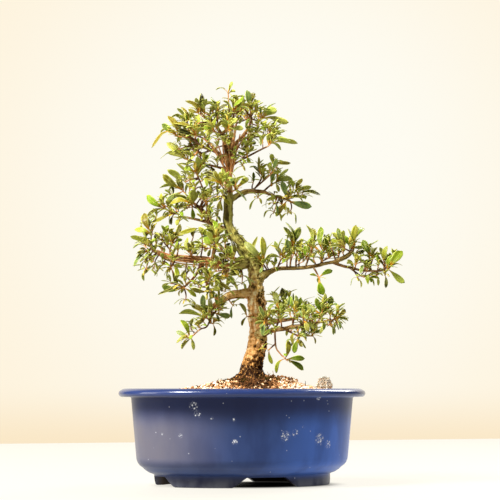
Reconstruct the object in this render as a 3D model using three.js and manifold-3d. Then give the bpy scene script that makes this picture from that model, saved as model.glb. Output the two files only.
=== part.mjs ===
// Satsuki azalea bonsai in a glazed oval pot, in millimetres, +Z up, floor at Z = 0.
// The pot's long side lies along X. The tree's routes are written as they are seen from the
// front: [across from the pot's middle, up from the floor, depth away from the viewer].
import * as THREE from "three";
import { mergeVertices } from "three/addons/utils/BufferGeometryUtils.js";
import Module from "manifold-3d";

const wasm = await Module();
wasm.setup();

// Pot
const RIM_LENGTH = 251;
const RIM_WIDTH = 203;
const POT_HEIGHT = 95.3;
const LIP_HEIGHT = 8.4;
const LIP_OVERHANG = 12.5;
const BODY_TAPER = 5.2;
const WALL = 5.4;
const FLOOR_UNDERSIDE = 14;
const FLOOR_TOP = 19;
const FOOT_SETBACK = 35.5;
const FOOT_WIDTH = 8;
const FOOT_TOP = 11.5;
const FOOT_GAP_HEIGHT = 9.8;
const FRONT_GAP = { foot: 69, top: 48 };
const END_GAP = { foot: 56, top: 40 };
const DRAIN_HOLE_RADIUS = 7;
const DRAIN_HOLE_OFFSET = 45;
const DRAIN_SCREEN_SIZE = 24;
const DRAIN_SCREEN_THICKNESS = 1;
const DRAIN_SCREEN_ROWS = 2;
const DRAIN_SCREEN_PITCH = 9.6;
const DRAIN_SCREEN_OPENING = 7.2;
const POT_SEGMENTS = 28;

// Soil
const SOIL_LEVEL = 88;
const SOIL_MOUND = 18;
const SOIL_MOUND_REACH = 63;
const SOIL_RELIEF = 1.1;
const SOIL_RINGS = [0.9, 0.64, 0.42, 0.22, 0];
const SOIL_CLUMP = { across: 81, depth: 0, radius: 8, top: 106, stretch: 1.5 };

// Fit between pieces, and the view that the routes are written in
const GAP = 0.35;
const THICK_LIMB = 3.5;
const LIMB_STEPS_PER_POINT = 0.6;
const TRUNK_FACES = { sides: 8, steps: 18, fluting: 0.07 };
const ROOT_FACES = { sides: 5, steps: 3 };
const VIEW_TURN = THREE.MathUtils.degToRad(-21);
const VIEW_DISTANCE = 2000;
const VIEW_ACROSS = 7;
const VIEW_HEIGHT = 98.5;

// Leaves and twigs. A blade's outline: [share of its length, share of its width].
const SEED = 20417;
const LEAF_THICKNESS = 0.75;
const LEAF_OUTLINE = [[0.6, 1], [1, 0.34]];
const BROAD_LEAF_OUTLINE = [[0.38, 0.76], [0.74, 1], [1, 0.34]];
const LEAF_SLENDERNESS = 0.38;
const LEAF_WIDTH_LEAST = 4.4;
const LEAF_WIDTH_MOST = 8.6;
const LEAF_ARCH = 0.11;
const LEAF_LENGTH = 15.5;
const LEAF_ROW = 1.8;
const LEAFY_SHARE_MOST = 0.6;
const TIP_DEPTH_SPREAD = 12;
const EDGE_ON_TURN = 1.35;
const FACING_BROAD = 0.85;
const LARGE_LEAF = 0.8;
const LEAF_SPREAD = [0.65, 1.25];
const LEAF_RISE = 0.25;
const LEAF_ROLL = 0.3;
const STEM_RADII = [1.25, 0.85];
const SIDE_TWIG_RADII = [1.0, 0.75];
const TWIG_SIDES = 4;
const SPARE_SITES = 3;
const SITES_TRIED = 6;
const SITE_FIT_LEAST = 0.15;
const GOLDEN_ANGLE = Math.PI * (3 - Math.sqrt(5));
const DEPTH_SHIFTS = [0, 5, -5, 10, -10, 15, -15, 20, -20];
const TOUCHING_VOLUME = 1e-4;

const UP = new THREE.Vector3(0, 0, 1);
const VIEW_DIRECTION = new THREE.Vector3(0, 1, 0).applyAxisAngle(UP, VIEW_TURN);

// The wood that grew as one piece: [across, up, depth, radius]
const TRUNK = [
  [10, 62, 0, 14], [10, 84, 0, 18.5], [10.5, 98, 0, 17.5], [9, 106, 0, 13.5],
  [8.5, 114, 0, 11.5], [10.5, 124, 0, 9.7], [13.5, 134, 1, 9.4], [15, 144, 2, 9.2],
  [15, 154, 3, 8.3], [14, 174, 4, 9], [12.5, 189, 4, 8.6], [13, 200, 4, 7],
  [13, 212, 3, 7.6], [10, 222, 2, 8.2], [2.5, 232, 0, 7.4], [-4, 241, -2, 6.2],
  [-10, 249, -3, 5.4], [-14.5, 259, -3, 4.8], [-15, 274, -2, 4.9], [-14.5, 287, -1, 4.6],
  [-14.5, 302, 0, 3.7], [-14.5, 318, 0, 3.0], [-14, 330, 0, 2.6],
];

const ROOTS = [
  [[3, 108, -4, 6], [-8, 102, -10, 5], [-20, 96, -16, 3.5], [-32, 84, -22, 2]],
  [[15, 108, 0, 6], [26, 101, 2, 5], [38, 94, 4, 3], [48, 82, 6, 1.8]],
  [[9, 107, -8, 6], [10, 100, -20, 5], [12, 92, -32, 3.2], [14, 80, -42, 1.8]],
  [[4, 107, 6, 6], [-4, 100, 18, 5], [-12, 92, 30, 3.2], [-18, 80, 40, 1.8]],
  [[14, 107, 6, 6], [22, 101, 16, 4.6], [32, 92, 26, 3], [40, 80, 34, 1.8]],
];

const LIMBS = {
  right: [
    [12, 206, 3, 6], [20, 208.5, 1, 4.6], [27, 212, -2, 2.8], [37, 215, -5, 2.1],
    [57, 215.5, -9, 1.9], [72, 217.5, -10, 1.9], [82, 220, -9, 1.7], [90, 221.5, -8, 1.7],
    [97, 224, -8, 2.3], [104, 227.5, -8, 2.4], [109, 232, -8, 1.8],
  ],
  right_lower: [
    [88, 221.5, -8, 1.5], [100, 217.5, -5, 1.5], [109, 215.5, -2, 1.4], [119, 213, 2, 1.2],
    [132, 212.5, 5, 1.1], [141, 213, 6, 1],
  ],
  right_high: [
    [-14, 283, -1, 3.4], [-6, 288, 3, 2.7], [0, 291, 6, 2.9], [7, 292.5, 9, 2.4],
    [19, 292, 13, 2], [27, 289.5, 16, 1.5], [37, 286, 19, 1.2], [47, 283.5, 22, 1],
  ],
  right_low: [
    [15, 148, 2, 4], [21, 150, -4, 3.2], [27, 152.5, -9, 2.6], [34, 154, -14, 2.3],
    [42, 155, -17, 2.1], [50, 157, -20, 1.9], [60, 158, -22, 1.8], [70, 160, -24, 1.5],
    [82, 162.5, -25, 1.2], [92, 164, -26, 0.9],
  ],
  left_low: [
    [9, 190, 3, 6], [-3, 189.5, 0, 4.2], [-13, 188, -4, 4], [-21, 183, -7, 3.4],
    [-29, 177.5, -10, 2.5], [-35, 175.5, -12, 1.6],
  ],
  left_mid: [
    [5, 221, 1, 6], [-3, 218, -4, 4.4], [-13, 217.5, -9, 2.8], [-23, 218.5, -13, 2.4],
    [-35, 223, -16, 2.6], [-48, 224, -18, 2.6], [-63, 225, -20, 2.4], [-75, 226.5, -22, 2.2],
    [-86, 231, -24, 1.8], [-93, 236, -25, 1.4],
  ],
  left_mid_drop: [[-42, 223, -17, 1.6], [-44, 214, -20, 1.6], [-50, 205, -23, 1.3], [-59, 196, -26, 1]],
  left_inner_drop: [[-36, 222, -17, 1.5], [-37, 209, -24, 1.4], [-36, 194, -30, 1]],
  left_inner_rise: [[-31, 221.5, -15, 1.8], [-29, 233, -18, 1.8], [-26, 243, -22, 1.3]],
  left_high: [
    [-13, 256, -3, 3], [-18, 255, 1, 2.2], [-31, 260, 8, 1.8], [-38, 262, 11, 1.6],
    [-48, 264.5, 14, 1.3], [-60, 267, 18, 1.2], [-66, 270, 20, 1.1],
  ],
  left_high_fan: [[-34, 261, 9, 1.8], [-36, 266, 10, 3], [-42, 274, 10, 2.4], [-50, 281, 10, 1.4]],
  left_high_rise: [
    [-36, 266, 10, 1.6], [-36, 279, 4, 1.2], [-39, 292, 0, 1], [-43, 302, -2, 0.9],
    [-46, 311, -3, 0.8],
  ],
  crown_middle: [
    [-14.5, 314, 0, 2.6], [-14, 334, 0, 2.3], [-13, 346, -1, 2], [-11, 359, -2, 1.6],
    [-9, 371, -3, 1.2],
  ],
  crown_left: [
    [-15, 318, -1, 2.4], [-17, 334, -6, 2.2], [-20, 346, -12, 1.9], [-26, 357, -17, 1.5],
    [-30, 362, -20, 1.2],
  ],
  crown_right: [
    [-14, 318, 1, 2.4], [-8, 339, 6, 2], [-2, 346, 11, 1.8], [5, 356, 15, 1.4],
    [9, 366, 18, 1.1],
  ],
  crown_far_left: [[-17, 326, -2, 1.8], [-31, 334, -2, 1.6], [-40, 337, -1, 1.4], [-46, 341, 0, 1.1]],
  crown_low_left: [[-15, 314, 0, 1.6], [-28, 317.5, 5, 1.2], [-38, 320, 9, 1.1]],
  crown_low_right: [[-14, 316, 0, 1.5], [-7, 321, -3, 1.1], [0, 325, -5, 0.95]],
  crown_back: [[-14, 322, 2, 2.2], [-12, 334, 16, 2], [-9, 348, 30, 1.6], [-7, 360, 42, 1.1]],
  crown_back_left: [[-14.5, 318, 2, 2.2], [-24, 330, 20, 1.8], [-36, 344, 38, 1.2]],
  back: [
    [8, 222, 2, 4.5], [2, 222, 18, 3.4], [-8, 224, 36, 2.4], [-18, 230, 52, 1.6],
    [-24, 238, 62, 1.1],
  ],
  back_low: [[15, 160, 3, 4.2], [24, 161, 22, 3], [38, 163, 42, 2.2], [54, 165, 60, 1.3]],
};

// The leafy stems. A stem's first twig grows from its limb and the others grow from that twig.
// path: [across, up, depth], its first depth being the carrier's own.
// tips: where seen leaves end, [across, up, how broad the blade is seen, width if unusual].
// more: further leaves round the twig's end.
const SPRAYS = [
  { name: "spray_crown_top", limb: "crown_middle", twigs: [
    { path: [[-12, 354], [-14, 374, -4], [-15, 392, -6]],
      tips: [[-11, 403, 0.7], [-27, 395, 0.15], [-8, 394, 0.4]], more: 0 },
    { path: [[-13, 366], [-9, 374, -10]], tips: [[-7, 389, 0.7], [-2, 386, 0.7],
      [-12, 387, 0.5], [-20, 383, 0.15], [-3, 378, 0.4]], more: 3 },
  ] },
  { name: "spray_crown_high_left", limb: "crown_left", twigs: [
    { path: [[-26, 357], [-25, 372, -20]], tips: [[-32, 387, 0.3], [-24, 386, 0.4],
      [-16, 380, 0.7], [-35, 376, 0.5], [-18, 371, 0.8]], more: 2 },
    { path: [[-26, 364], [-37, 366, -24], [-46, 372, -26]], tips: [[-42, 391, 0.6],
      [-47, 385, 1], [-57, 382, 0.3], [-31, 383, 0.15], [-55, 375, 0.8]], more: 0 },
  ] },
  { name: "spray_crown_left", limb: "crown_far_left", twigs: [
    { path: [[-43, 339], [-49, 345, -3], [-57, 347, -4], [-67, 348, -4]],
      tips: [[-75, 368, 0.6], [-81, 360, 0.8], [-83, 354, 0.3], [-91, 337, 0.2]], more: 0 },
    { path: [[-48, 344], [-47, 349, -10]], tips: [[-45, 358, 1], [-66, 354, 1],
      [-71, 362, 0.4], [-69, 357, 0.2], [-38, 350, 0.6]], more: 2 },
    { path: [[-53, 346], [-55, 356, 4], [-57, 364, 8]], tips: [[-66, 376, 0.6],
      [-62, 377, 0.4], [-67, 369, 0.5], [-72, 366, 0.2], [-51, 374, 0.7]], more: 0 },
  ] },
  { name: "spray_crown_middle", limb: "crown_left", twigs: [
    { path: [[-21, 348], [-30, 354, -26]], tips: [[-40, 357, 0.9], [-36, 362, 0.6],
      [-28, 365, 0.8], [-37, 350, 0.8], [-21, 364, 0.9]], more: 2 },
    { path: [[-23, 350], [-18, 352, -20], [-14, 356, -26]], tips: [[-6, 366, 0.8],
      [-14, 370, 0.6], [0, 356, 0.6], [-22, 362, 0.9], [-11, 346, 0.8]], more: 2 },
  ] },
  { name: "spray_crown_high_right", limb: "crown_right", twigs: [
    { path: [[7, 361], [8, 368, 17], [7, 375, 16]], tips: [[4, 394, 0.8], [11, 393, 0.9],
      [15, 384, 0.5], [0, 381, 0.5], [14, 374, 0.7]], more: 0 },
    { path: [[8, 366], [14, 364, 24], [19, 366, 28]], tips: [[33, 376, 1, 10],
      [32, 381, 0.15], [45, 362, 0.4], [23, 357, 0.4]], more: 1 },
  ] },
  { name: "spray_crown_right", limb: "crown_right", twigs: [
    { path: [[-3, 345], [9, 347, 8], [19, 348, 6], [27, 351, 4]], tips: [[36, 356, 0.5],
      [33, 362, 0.6], [38, 350, 0.3], [20, 360, 0.4]], more: 2 },
    { path: [[4, 346], [5, 341, 2]], tips: [[9, 335, 0.3], [1, 334, 0.7], [13, 341, 0.9],
      [14, 352, 0.5]], more: 0 },
  ] },
  { name: "spray_crown_low_right", limb: "crown_low_right", twigs: [
    { path: [[-2, 324], [17, 334, -12], [25, 338, -15], [28, 341, -16]],
      tips: [[27, 350, 0.5], [34, 348, 0.6], [54, 341, 0.15], [47, 343, 0.15],
        [38, 335, 0.2], [37, 355, 0.4]], more: 0 },
    { path: [[4, 327], [4, 329, -10]], tips: [[7, 321, 0.8], [-5, 332, 0.9]], more: 0 },
  ] },
  { name: "spray_crown_low_left", limb: "crown_low_left", twigs: [
    { path: [[-36, 319.5], [-48, 322, 12], [-58, 325, 17]], tips: [[-76, 341, 1],
      [-76, 333, 0.3], [-82, 326, 0.15], [-70, 330, 0.4], [-63, 336, 0.9]], more: 0 },
    { path: [[-41, 320.5], [-43, 318, 5]], tips: [[-35, 329, 1], [-50, 312, 0.8],
      [-59, 319, 0.2]], more: 2 },
  ] },
  { name: "spray_crown_inner_left", limb: "crown_far_left", twigs: [
    { path: [[-31, 334], [-42, 331, 4], [-50, 334, 8]], tips: [[-54, 342, 0.9],
      [-61, 332, 0.3], [-50, 327, 0.7]], more: 3 },
  ] },
  { name: "spray_crown_back", limb: "crown_back", twigs: [
    { path: [[-8, 354], [-5, 368, 46]], tips: [], more: 5 },
    { path: [[-6, 361], [6, 366, 56]], tips: [], more: 4 },
    { path: [[-7, 357], [-20, 364, 54]], tips: [], more: 4 },
  ] },
  { name: "spray_crown_back_left", limb: "crown_back_left", twigs: [
    { path: [[-33, 341], [-42, 352, 46]], tips: [], more: 4 },
    { path: [[-37, 345], [-52, 350, 40]], tips: [], more: 4 },
    { path: [[-36, 345], [-34, 356, 58]], tips: [], more: 4 },
  ] },
  { name: "spray_front", limb: "trunk", twigs: [
    { path: [[-16, 290], [-20, 296, -14], [-21, 300, -18]], tips: [[-29, 313, 0.9],
      [-38, 312, 0.9], [-40, 306, 0.6], [-21, 316, 0.5], [-14, 312, 0.6]], more: 1 },
    { path: [[-18, 293], [-12, 292, -16], [-7, 294, -17]], tips: [[5, 306, 1],
      [1, 308, 0.3], [-13, 306, 0.8], [3, 283, 0.3]], more: 0 },
    { path: [[-17, 291], [-21, 286, -14]], tips: [[-25, 274, 0.7], [-21, 273, 0.5],
      [-33, 283, 0.7], [-13, 279, 0.7]], more: 1 },
  ] },
  { name: "spray_left_high_1", limb: "left_high_rise", twigs: [
    { path: [[-43, 302], [-47, 311, -4]], tips: [[-59, 316, 1], [-65, 319, 0.3],
      [-38, 317, 0.4], [-53, 306, 0.5]], more: 1 },
  ] },
  { name: "spray_left_high_2", limb: "left_high_fan", twigs: [
    { path: [[-48, 280], [-56, 288, 10], [-61, 294, 11]], tips: [[-75, 314, 0.4],
      [-80, 309, 0.9], [-66, 320, 0.2], [-83, 296, 0.3], [-76, 284, 0.9]], more: 1 },
  ] },
  { name: "spray_left_high_3", limb: "left_high_fan", twigs: [
    { path: [[-42, 274], [-50, 277, 4], [-52, 279, 0]], tips: [[-70, 289, 0.3],
      [-72, 280, 0.5], [-66, 276, 0.9], [-50, 265, 1], [-46, 291, 0.8]], more: 2 },
    { path: [[-43, 274.5], [-38, 278, 0], [-37, 282, -6]], tips: [[-35, 295, 0.5],
      [-41, 290, 0.6], [-28, 286, 0.8]], more: 0 },
  ] },
  { name: "spray_left_high_4", limb: "left_high", twigs: [
    { path: [[-62, 268.5], [-69, 271, 20], [-78, 274.5, 19]], tips: [[-96, 288, 0.9],
      [-82, 290, 0.6], [-96, 267, 0.2], [-88, 281, 0.4]], more: 0 },
    { path: [[-68, 270.5], [-70, 269, 12]], tips: [[-91, 261, 0.5], [-72, 259, 0.6],
      [-75, 277, 0.6], [-55, 262, 0.3]], more: 0 },
  ] },
  { name: "spray_left_mid_1", limb: "left_mid", twigs: [
    { path: [[-90, 234], [-92, 244, -22], [-91, 250, -20]], tips: [[-99, 270, 0.8],
      [-108, 254, 0.8], [-83, 247, 0.3], [-101, 262, 0.5]], more: 0 },
    { path: [[-91, 238], [-94, 237, -32]], tips: [[-112, 247, 0.5], [-99, 246, 1],
      [-88, 245, 0.8]], more: 0 },
    { path: [[-91, 236], [-96, 232, -24]], tips: [[-106, 225, 0.3], [-103, 235, 0.5],
      [-105, 230, 0.7], [-108, 217, 0.15], [-93, 224, 0.9]], more: 0 },
  ] },
  { name: "spray_left_mid_2", limb: "left_mid", twigs: [
    { path: [[-72, 226], [-73, 234, -16], [-70, 241, -12]], tips: [[-47, 255, 0.6],
      [-63, 259, 0.9], [-61, 244, 0.8], [-74, 252, 0.4]], more: 2 },
    { path: [[-73, 234], [-81, 243, -12]], tips: [[-75, 258, 0.6], [-70, 248, 0.3],
      [-85, 237, 0.7], [-86, 251, 0.6]], more: 0 },
  ] },
  { name: "spray_left_mid_3", limb: "left_mid", twigs: [
    { path: [[-50, 225], [-52, 230, -26]], tips: [[-55, 241, 0.9], [-44, 238, 0.9],
      [-63, 237, 0.2], [-46, 231, 0.8]], more: 3 },
  ] },
  { name: "spray_left_inner_high", limb: "left_inner_rise", twigs: [
    { path: [[-28, 238], [-26, 245, -24]], tips: [[-44, 256, 0.7], [-36, 258, 0.8],
      [-29, 263, 0.9], [-20, 254, 0.7], [-44, 244, 0.5]], more: 1 },
    { path: [[-27, 241], [-32, 236, -32]], tips: [[-38, 246, 1, 9], [-35, 227, 0.9],
      [-22, 232, 0.6]], more: 1 },
  ] },
  { name: "spray_left_mid_4", limb: "left_mid", twigs: [
    { path: [[-67, 225.5], [-70, 219, -26], [-72, 216, -28]], tips: [[-66, 200, 0.9],
      [-76, 204, 0.2], [-61, 216, 0.5], [-82, 221, 0.5]], more: 2 },
  ] },
  { name: "spray_left_drop", limb: "left_mid_drop", twigs: [
    { path: [[-56, 199], [-60, 195, -27]], tips: [[-84, 189, 0.3], [-80, 196, 0.8],
      [-47, 187, 0.9], [-66, 204, 0.5]], more: 1 },
  ] },
  { name: "spray_left_inner_low", limb: "left_inner_drop", twigs: [
    { path: [[-36, 203], [-35, 192, -36]], tips: [[-51, 195, 0.8], [-23, 195, 0.8],
      [-30, 187, 0.7]], more: 0 },
    { path: [[-36, 201], [-33, 206, -42]], tips: [[-41, 216, 0.5], [-31, 197, 0.8],
      [-45, 205, 0.7], [-33, 216, 0.8]], more: 0 },
  ] },
  { name: "spray_left_inner_mid", limb: "left_mid", twigs: [
    { path: [[-18, 218], [-20, 211, -22], [-21, 206, -28]], tips: [[-3, 212, 0.8],
      [-7, 198, 0.6], [-31, 207, 0.8], [-21, 192, 0.7], [-13, 194, 0.4]], more: 1 },
  ] },
  { name: "spray_left_front", limb: "left_mid", twigs: [
    { path: [[-9, 218], [-11, 222, -20]], tips: [[-24, 230, 0.9], [-17, 236, 0.9],
      [-11, 243, 0.7], [1, 226, 0.5]], more: 1 },
  ] },
  { name: "spray_left_low", limb: "left_low", twigs: [
    { path: [[-32, 176], [-32, 167, -12], [-36, 157, -14], [-43, 154, -16], [-53, 145, -20]],
      tips: [[-62, 163, 0.6], [-66, 152, 0.9], [-49, 134, 0.9], [-66, 141, 0.2],
        [-61, 135, 0.3]], more: 0 },
    { path: [[-33, 164], [-38, 166, -20]], tips: [[-40, 188, 0.6], [-33, 185, 0.6],
      [-51, 178, 0.7], [-63, 170, 0.6], [-48, 159, 0.9]], more: 0 },
    { path: [[-32, 170], [-28, 171, -8]], tips: [[-13, 167, 0.8], [-24, 162, 0.3]], more: 0 },
    { path: [[-34, 160], [-30, 160, -9]], tips: [[-29, 148, 0.7], [-19, 160, 0.2]], more: 0 },
  ] },
  { name: "spray_right_high_1", limb: "right_high", twigs: [
    { path: [[8, 292.5], [17, 300, 8], [25, 307, 6], [30, 312, 4]], tips: [[34, 325, 0.7],
      [27, 330, 0.2], [47, 321, 0.2], [24, 319, 0.6], [38, 312, 0.5]], more: 0 },
    { path: [[13, 296], [18, 304, 12], [19, 309, 14]], tips: [[16, 327, 0.4],
      [10, 318, 0.3], [24, 320, 0.5]], more: 0 },
  ] },
  { name: "spray_right_high_2", limb: "right_high", twigs: [
    { path: [[20, 292], [28, 299, 20], [34, 302, 24]], tips: [[40, 307, 0.9],
      [48, 306, 0.9], [44, 310, 0.5], [36, 292, 0.8]], more: 1 },
  ] },
  { name: "spray_right_high_3", limb: "right_high", twigs: [
    { path: [[41, 285], [50, 286, 23], [55, 289, 24]], tips: [[59, 305, 0.6],
      [77, 289, 0.2], [68, 297, 0.3], [64, 287, 0.8]], more: 0 },
    { path: [[45, 285.5], [44, 283, 14]], tips: [[68, 277, 0.9], [59, 286, 0.3],
      [33, 268, 0.9], [24, 284, 0.3], [39, 302, 0.9], [43, 273, 0.3]], more: 0 },
  ] },
  { name: "spray_right_mid_1", limb: "right", twigs: [
    { path: [[25, 211], [22, 217, -8], [19, 221, -12]], tips: [[2, 241, 0.8],
      [19, 246, 0.8], [14, 247, 0.3], [29, 241, 0.2], [29, 229, 0.5], [5, 229, 0.4]],
      more: 0 },
  ] },
  { name: "spray_right_mid_2", limb: "right", twigs: [
    { path: [[34, 214.5], [37, 222, -14], [40, 227, -18]], tips: [[32, 242, 0.7],
      [44, 244, 0.7], [28, 238, 0.3], [35, 236, 0.9], [49, 232, 0.9], [26, 226, 0.3]],
      more: 1 },
  ] },
  { name: "spray_right_mid_3", limb: "right", twigs: [
    { path: [[47, 215.5], [48, 226, 2], [50, 238, 8]], tips: [[41, 256, 0.5],
      [43, 260, 0.3], [57, 256, 0.9], [60, 244, 0.8], [42, 244, 0.6]], more: 1 },
  ] },
  { name: "spray_right_mid_4", limb: "right", twigs: [
    { path: [[62, 216], [66, 226, -14], [69, 232, -18]], tips: [[64, 258, 0.3],
      [70, 256, 0.9], [76, 244, 0.4], [66, 244, 0.7]], more: 1 },
    { path: [[65, 222], [62, 230, -6]], tips: [[54, 235, 0.8], [59, 242, 0.5],
      [56, 228, 0.4]], more: 0 },
  ] },
  { name: "spray_right_mid_5", limb: "right", twigs: [
    { path: [[77, 219], [80, 226, 2], [81, 231, 6]], tips: [[78, 256, 0.6],
      [82, 249, 0.7], [86, 250, 0.3], [74, 250, 0.3], [87, 236, 0.7]], more: 0 },
    { path: [[78, 222], [87, 226, 8]], tips: [[92, 236, 0.4], [95, 228, 0.5]], more: 0 },
  ] },
  { name: "spray_right_hanging_leaf", limb: "right", twigs: [
    { path: [[70, 216.5], [74, 210, -14], [76, 205, -16]], tips: [[80, 189, 0.8],
      [89, 213, 0.8], [67, 209, 0.7]], more: 0 },
  ] },
  { name: "spray_right_end_high", limb: "right", twigs: [
    { path: [[105, 228.5], [108, 234, -8], [109, 237, -8]], tips: [[113, 258, 0.9],
      [121, 256, 0.8], [105, 254, 0.3], [102, 248, 0.7], [120, 236, 1]], more: 0 },
    { path: [[107, 232], [100, 236, -16]], tips: [[95, 255, 0.7], [90, 251, 0.3],
      [100, 252, 0.7], [87, 238, 0.2], [89, 244, 0.8]], more: 0 },
    { path: [[107, 231], [113, 229, 1]], tips: [[121, 232, 0.8], [118, 221, 0.6]], more: 0 },
  ] },
  { name: "spray_right_tip_1", limb: "right_lower", twigs: [
    { path: [[127, 213], [128, 219, 6], [130, 225, 8]], tips: [[120, 243, 1, 9],
      [134, 236, 0.4], [122, 221, 0.3], [137, 230, 0.5]], more: 1 },
  ] },
  { name: "spray_right_under", limb: "right_lower", twigs: [
    { path: [[106, 216], [113, 211, -5], [119, 207, -6], [124, 206, -8]],
      tips: [[136, 205, 0.6], [129, 202, 0.7], [134, 210, 0.4]], more: 0 },
    { path: [[111, 213], [113, 219, -14]], tips: [[128, 218, 0.4], [104, 221, 0.6],
      [117, 227, 0.8]], more: 0 },
  ] },
  { name: "spray_right_tip_2", limb: "right_lower", twigs: [
    { path: [[138, 213], [143, 213, 6], [146, 215, 6]], tips: [[159, 232, 1, 12],
      [159, 218, 0.3], [161, 201, 0.7], [150, 228, 0.5]], more: 0 },
    { path: [[141, 213.5], [141, 221, 12]], tips: [[137, 236, 0.4], [133, 229, 0.6],
      [144, 237, 0.4]], more: 0 },
  ] },
  { name: "spray_right_low_1", limb: "right_low", twigs: [
    { path: [[25, 152], [24, 159, -15], [22, 163, -19]], tips: [[16, 177, 0.6],
      [20, 148, 0.7], [34, 162, 0.5], [27, 173, 0.9], [12, 160, 0.7]], more: 0 },
  ] },
  { name: "spray_right_low_2", limb: "right_low", twigs: [
    { path: [[33, 154], [35, 164, -8], [36, 174, -2]], tips: [[32, 191, 0.9, 7],
      [22, 171, 0.8], [45, 180, 0.2], [29, 166, 0.3]], more: 0 },
    { path: [[35, 165], [42, 172, 2], [46, 178, 5]], tips: [[39, 195, 0.7],
      [50, 190, 0.4], [54, 176, 0.6]], more: 0 },
  ] },
  { name: "spray_right_low_3", limb: "right_low", twigs: [
    { path: [[49, 157], [51, 166, -26], [52, 172, -30]], tips: [[47, 187, 0.7],
      [53, 188, 0.6], [58, 186, 0.9], [62, 178, 0.9], [41, 172, 0.6]], more: 0 },
  ] },
  { name: "spray_right_low_4", limb: "right_low", twigs: [
    { path: [[57, 158], [60, 160, -32], [61, 164, -37]], tips: [[68, 174, 0.9],
      [73, 165, 0.3], [65, 152, 0.9], [71, 155, 0.6], [57, 174, 0.8]], more: 0 },
  ] },
  { name: "spray_right_low_5", limb: "right_low", twigs: [
    { path: [[74, 161], [77, 166, -18], [79, 170, -12]], tips: [[73, 185, 0.9],
      [80, 182, 0.9], [64, 178, 0.9], [85, 175, 0.9], [69, 167, 0.8]], more: 1 },
    { path: [[77, 166], [85, 172, -6]], tips: [[88, 187, 1, 7.5], [94, 166, 0.8]], more: 0 },
  ] },
  { name: "spray_right_low_6", limb: "right_low", twigs: [
    { path: [[86, 163], [93, 164, -28]], tips: [[102, 174, 0.9], [105, 163, 0.2],
      [97, 155, 0.4], [93, 176, 0.5]], more: 0 },
    { path: [[90, 163.5], [85, 158, -33]], tips: [[92, 150, 0.3], [77, 150, 0.4]], more: 0 },
  ] },
  { name: "spray_right_low_7", limb: "right_low", twigs: [
    { path: [[40, 154.5], [48, 151, -19], [55, 148, -20], [69, 147.5, -19]],
      tips: [[72, 140, 0.3], [69, 158, 0.8], [80, 154, 0.5]], more: 0 },
    { path: [[53, 148.5], [56, 146, -26]], tips: [[51, 131, 1, 7], [59, 137, 0.6],
      [61, 152, 0.8]], more: 0 },
  ] },
  { name: "spray_right_hanging", limb: "right_low", twigs: [
    { path: [[32, 153], [32, 146, -14], [33, 136, -18], [37, 130, -20], [43, 124, -22]],
      tips: [[61, 125, 0.9], [60, 114, 0.8], [33, 111, 0.6], [45, 143, 0.7]], more: 0 },
    { path: [[32, 140], [26, 134, -13]], tips: [[29, 120, 0.8]], more: 0 },
  ] },
  { name: "spray_beside_trunk", limb: "trunk", twigs: [
    { path: [[9, 167], [4, 167, -10]], tips: [[-3, 180, 0.7], [-1, 158, 0.4]], more: 0 },
  ] },
  { name: "spray_back_1", limb: "back", twigs: [
    { path: [[-21, 234], [-26, 241, 66], [-30, 248, 70]], tips: [], more: 5 },
    { path: [[-25, 239], [-14, 245, 74]], tips: [], more: 4 },
    { path: [[-24, 238], [-38, 234, 64]], tips: [], more: 4 },
  ] },
  { name: "spray_back_2", limb: "back", twigs: [
    { path: [[-9, 224.5], [-14, 214, 50], [-17, 206, 60]], tips: [], more: 5 },
    { path: [[-14, 214], [-27, 212, 58]], tips: [], more: 4 },
  ] },
  { name: "spray_back_low_1", limb: "back_low", twigs: [
    { path: [[50, 165], [57, 168, 64], [62, 174, 68]], tips: [], more: 5 },
    { path: [[55, 167], [69, 164, 62]], tips: [], more: 4 },
  ] },
  { name: "spray_back_low_2", limb: "back_low", twigs: [
    { path: [[36, 163], [36, 172, 46], [34, 178, 52]], tips: [], more: 5 },
  ] },
  { name: "spray_right_back_1", limb: "right", twigs: [
    { path: [[53, 215.5], [53, 223, 12], [54, 232, 26]], tips: [], more: 4 },
  ] },
  { name: "spray_right_back_2", limb: "right", twigs: [
    { path: [[95, 223], [96, 230, 8], [97, 237, 22]], tips: [], more: 5 },
  ] },
];

// A seeded sequence of numbers from 0 to 1
function randomSequence(seed) {
  let state = seed;
  return () => {
    state = (state + 0x6d2b79f5) | 0;
    let mixed = Math.imul(state ^ (state >>> 15), 1 | state);
    mixed = (mixed + Math.imul(mixed ^ (mixed >>> 7), 61 | mixed)) ^ mixed;
    return ((mixed ^ (mixed >>> 14)) >>> 0) / 4294967296;
  };
}

// From the front view's [across, up, depth] to the pot's frame. What lies further away looks
// smaller, so its real place is further out.
function fromView(across, up, depth) {
  const widening = (VIEW_DISTANCE + depth) / VIEW_DISTANCE;
  const place = new THREE.Vector3(
    VIEW_ACROSS + (across - VIEW_ACROSS) * widening,
    depth,
    VIEW_HEIGHT + (up - VIEW_HEIGHT) * widening,
  );
  return place.applyAxisAngle(UP, VIEW_TURN);
}

// A closed geometry as a solid, with its shared vertices merged and its empty faces left out
function toSolid(geometry) {
  geometry.deleteAttribute("normal");
  geometry.deleteAttribute("uv");
  const merged = mergeVertices(geometry, 1e-4);
  const faces = [];
  for (let i = 0; i < merged.index.count; i += 3) {
    const [a, b, c] = [0, 1, 2].map((k) => merged.index.getX(i + k));
    if (a !== b && b !== c && c !== a) faces.push(a, b, c);
  }
  return new wasm.Manifold(new wasm.Mesh({
    numProp: 3,
    vertProperties: new Float32Array(merged.attributes.position.array),
    triVerts: new Uint32Array(faces),
  }));
}

function toGeometry(solid) {
  const { vertProperties, triVerts } = solid.getMesh();
  const geometry = new THREE.BufferGeometry();
  geometry.setAttribute("position", new THREE.BufferAttribute(vertProperties, 3));
  geometry.setIndex(new THREE.BufferAttribute(triVerts, 1));
  geometry.computeVertexNormals();
  return geometry;
}

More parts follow.
